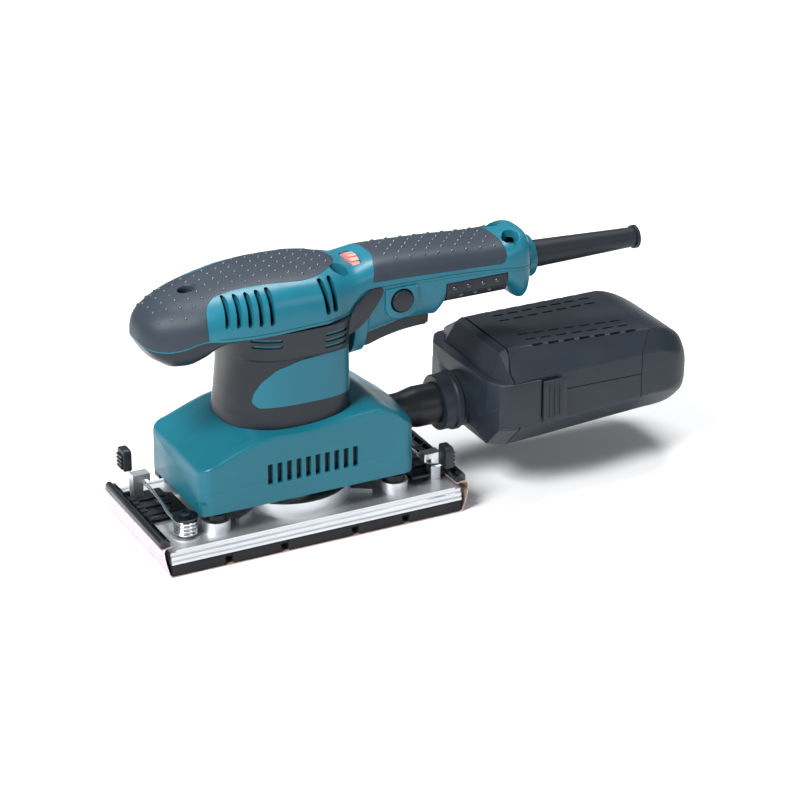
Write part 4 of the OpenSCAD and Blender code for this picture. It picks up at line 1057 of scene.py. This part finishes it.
def clamp_wire(name):
    """Coil and lever arm of one clamp, bent from one wire."""
    t = np.arange(0, TURNS * 48 + 1)
    a = np.radians(90 - 360 * t / 48)
    coil = np.stack([COIL_X + COIL_R * np.cos(a), COIL_Y + COIL_R * np.sin(a), COIL_LOW + PITCH * t / 48], 1)
    return tube(name, np.vstack([coil[:-1], spline(np.vstack([coil[-1:], ARM]), 90)]), WIRE_R, 20)


def lever_cap(name):
    """Moulded cap on the end of a clamp's arm, ribbed for the finger."""
    side = rounded(rectangle(35.5, 29.5, 46, 43), [1.2, 1.6, 2.8, 2.4])
    cap = bake(edge(prism(name, side, "x", -87.6, -82.4), 0.7, 3))
    ribs = [prism("rib", stadium((37.2, z), (44.4, z), 0.6, 6), "x", -88.8, -86.5)
            for z in (31.6, 34, 36.4, 38.8)]
    return fuse(cap, group("ribs", *ribs))


def paper_clamp(name):
    """Clamp lip with its cells, ribbed plate, teeth and hinge."""
    lip = rounded([[-97.6, 17.5], [-95.2, 17.35], [-91, 17.5], [-91, 21], [-93, 21.3], [-94.2, 22.9],
                   [-96.4, 22.9], [-97.5, 21.2]], [1, 0.4, 0.5, 0.5, 0.5, 0.9, 1, 0.8])
    bar = prism("bar", lip, "y", -42, 42)
    cells = [block("cell", (-94.3, y + 0.9, 19.2), (-91.9, y + 10.1, 30)) for y in range(-39, 28, 11)]
    bar = cut(bake(edge(bar, 0.5, 2)), group("cells", *cells))
    plate = prism("plate", rounded([[-91.4, -7], [-66, -7], [-66, 19], [-69, 22], [-69, 28], [-91.4, 28]],
                                   [0.6, 2, 1, 1, 1.5, 0.6]), "z", 17.5, 19.5)
    plate = cut(plate, block("notch", (-88, 21.4, 16), (-80.7, 30, 30)))
    comb = [block("tooth", (-92.2, y - 1, 19), (-88.4, y + 1, 21.6)) for y in (-6, -0.5, 5, 10.5, 16, 26.5)]
    ribs = [block("rib", (-88.6, y - 0.9, 19.2), (-71, y + 0.9, 20.6)) for y in (-4, 6, 16)]
    pads = [lathe("stud", [[19, 3.4], [20.2, 3.2], [20.5, 2.6]], "z", (-75.5, y, 0), 24) for y in (1, 11)]
    back = block("back", (-91.2, -7, 19.2), (-88, 21.2, 21))
    hinge = lathe("hinge", [[-7, 1.4], [-6.6, 1.6], [18.6, 1.6], [19, 1.4]], "y", (-66, 0, 18.2), 24)
    obj = fuse(bar, edge(plate, 0.3), back, group("teeth", *comb), group("ribs", *ribs),
               group("studs", *pads), hinge)
    obj.name = name
    return obj


for kind, make, slot_name, look, body in (
        ("clamp_wire", clamp_wire, "spring_steel", chrome, "lever"),
        ("lever_cap", lever_cap, "black_plastic", dark, "lever"),
        ("paper_clamp", paper_clamp, "black_steel", black_steel, "clamp")):
    front = make("front_" + kind)
    front.name = "front_" + kind
    for end, obj in (("front_", front), ("rear_", turned("rear_" + kind, front))):
        finish_piece(obj, end + body, look, [end + kind])

# ---- controls ----
TRIGGER_LOW = [[44.8, 101.7], [50, 101.9], [57.7, 104.2], [66, 106], [73.4, 107.1], [82, 107.7],
               [87.6, 107.8]]
TRIGGER_TOP = [[88.9, 108.2], [89.4, 113.8], [85, 119], [52, 117.6], [44.8, 117]]
trigger_side = np.vstack([spline(TRIGGER_LOW, 24), rounded(TRIGGER_TOP, [1.2, 2, 2, 1, 1])])
trigger = bake(edge(prism("switch_trigger", trigger_side, "y", -9, 9), 0.9, 3))
trigger = cut(trigger, prism("pin_hole", circle(PIN_HOLE_R, (PIN_X, PIN_Z)), "y", -20, 20))
finish_piece(trigger, "trigger", dark, ["switch_trigger"])
BUTTON = [[-25.6, 5.2], [-25.4, 5.9], [-24.7, 6.5], [-17.5, 6.5], [-17.4, 3], [-12, 3]]
button = lathe("lock_button", BUTTON, "y", (LOCK_X, 0, LOCK_Z), 56)
finish_piece(button, "button", dark, ["lock_button"])

# ---- CAD parts that stay, with bevels and materials ----
LOOKS = {
    "cast_aluminium": cast, "steel": steel, "black_steel": black_steel, "spring_steel": chrome,
    "copper": copper, "bearing_steel": bearing_steel, "laminations": laminations, "brass": brass,
    "carbon": carbon, "circuit_board": board, "black_rubber": rubber, "dark_plastic": dark,
    "black_plastic": black, "dial_plastic": dial_plastic, "filter_paper": filter_paper,
    "box_plastic": box_plastic,
}
BEVELS = {"base_plate": 0.35, "front_hook": 0.6, "rear_hook": 0.6, "cord_guard": 0.5, "speed_dial": 0.15,
          "clamp_screws": 0.25, "cover_screws": 0.25, "skirt_bumper": 0.6, "support_posts": 0.5,
          "bearing_retainer": 0.3}
for row in frame["record"]["subparts"]:
    node = frame["nodes"][row["node"]]
    if row["material_slot"] in LOOKS:
        look = brushed if row["node"] == "base_plate" else LOOKS[row["material_slot"]]
        node.data.materials.clear()
        node.data.materials.append(look)
        if row["node"] in BEVELS:
            edge(node, BEVELS[row["node"]], 3, 30)

# ---- studio ----
bpy.ops.mesh.primitive_plane_add(size=12, location=(0, 0, 0))
floor = bpy.context.object
floor.name = "floor"
floor_look, tree, p = shader("floor_paint", (0.86, 0.86, 0.86), 0.7, spec=0.2)
floor.data.materials.append(floor_look)

LIGHT_AIM = Vector((0.03, 0, 0.08))


def softbox(name, place, size, power):
    """Rectangular studio light turned to the object."""
    light = bpy.data.lights.new(name, "AREA")
    light.shape, light.size, light.size_y, light.energy = "RECTANGLE", size[0], size[1], power
    obj = linked(name, light)
    obj.location = place
    obj.rotation_euler = (LIGHT_AIM - Vector(place)).to_track_quat("-Z", "Y").to_euler()


softbox("key", (-0.95, -0.45, 1.35), (0.5, 0.7), 40)
softbox("top", (0.35, 0.5, 1.7), (1.2, 0.45), 32)
softbox("fill", (0.9, -1.5, 0.9), (0.9, 0.5), 5)
world = bpy.data.worlds.new("studio")
bpy.context.scene.world = world
world.use_nodes = True
put(world.node_tree.nodes["Background"], {"Color": (0.88, 0.94, 1, 1), "Strength": 0.22})
bpy.context.scene.view_settings.view_transform = "Standard"
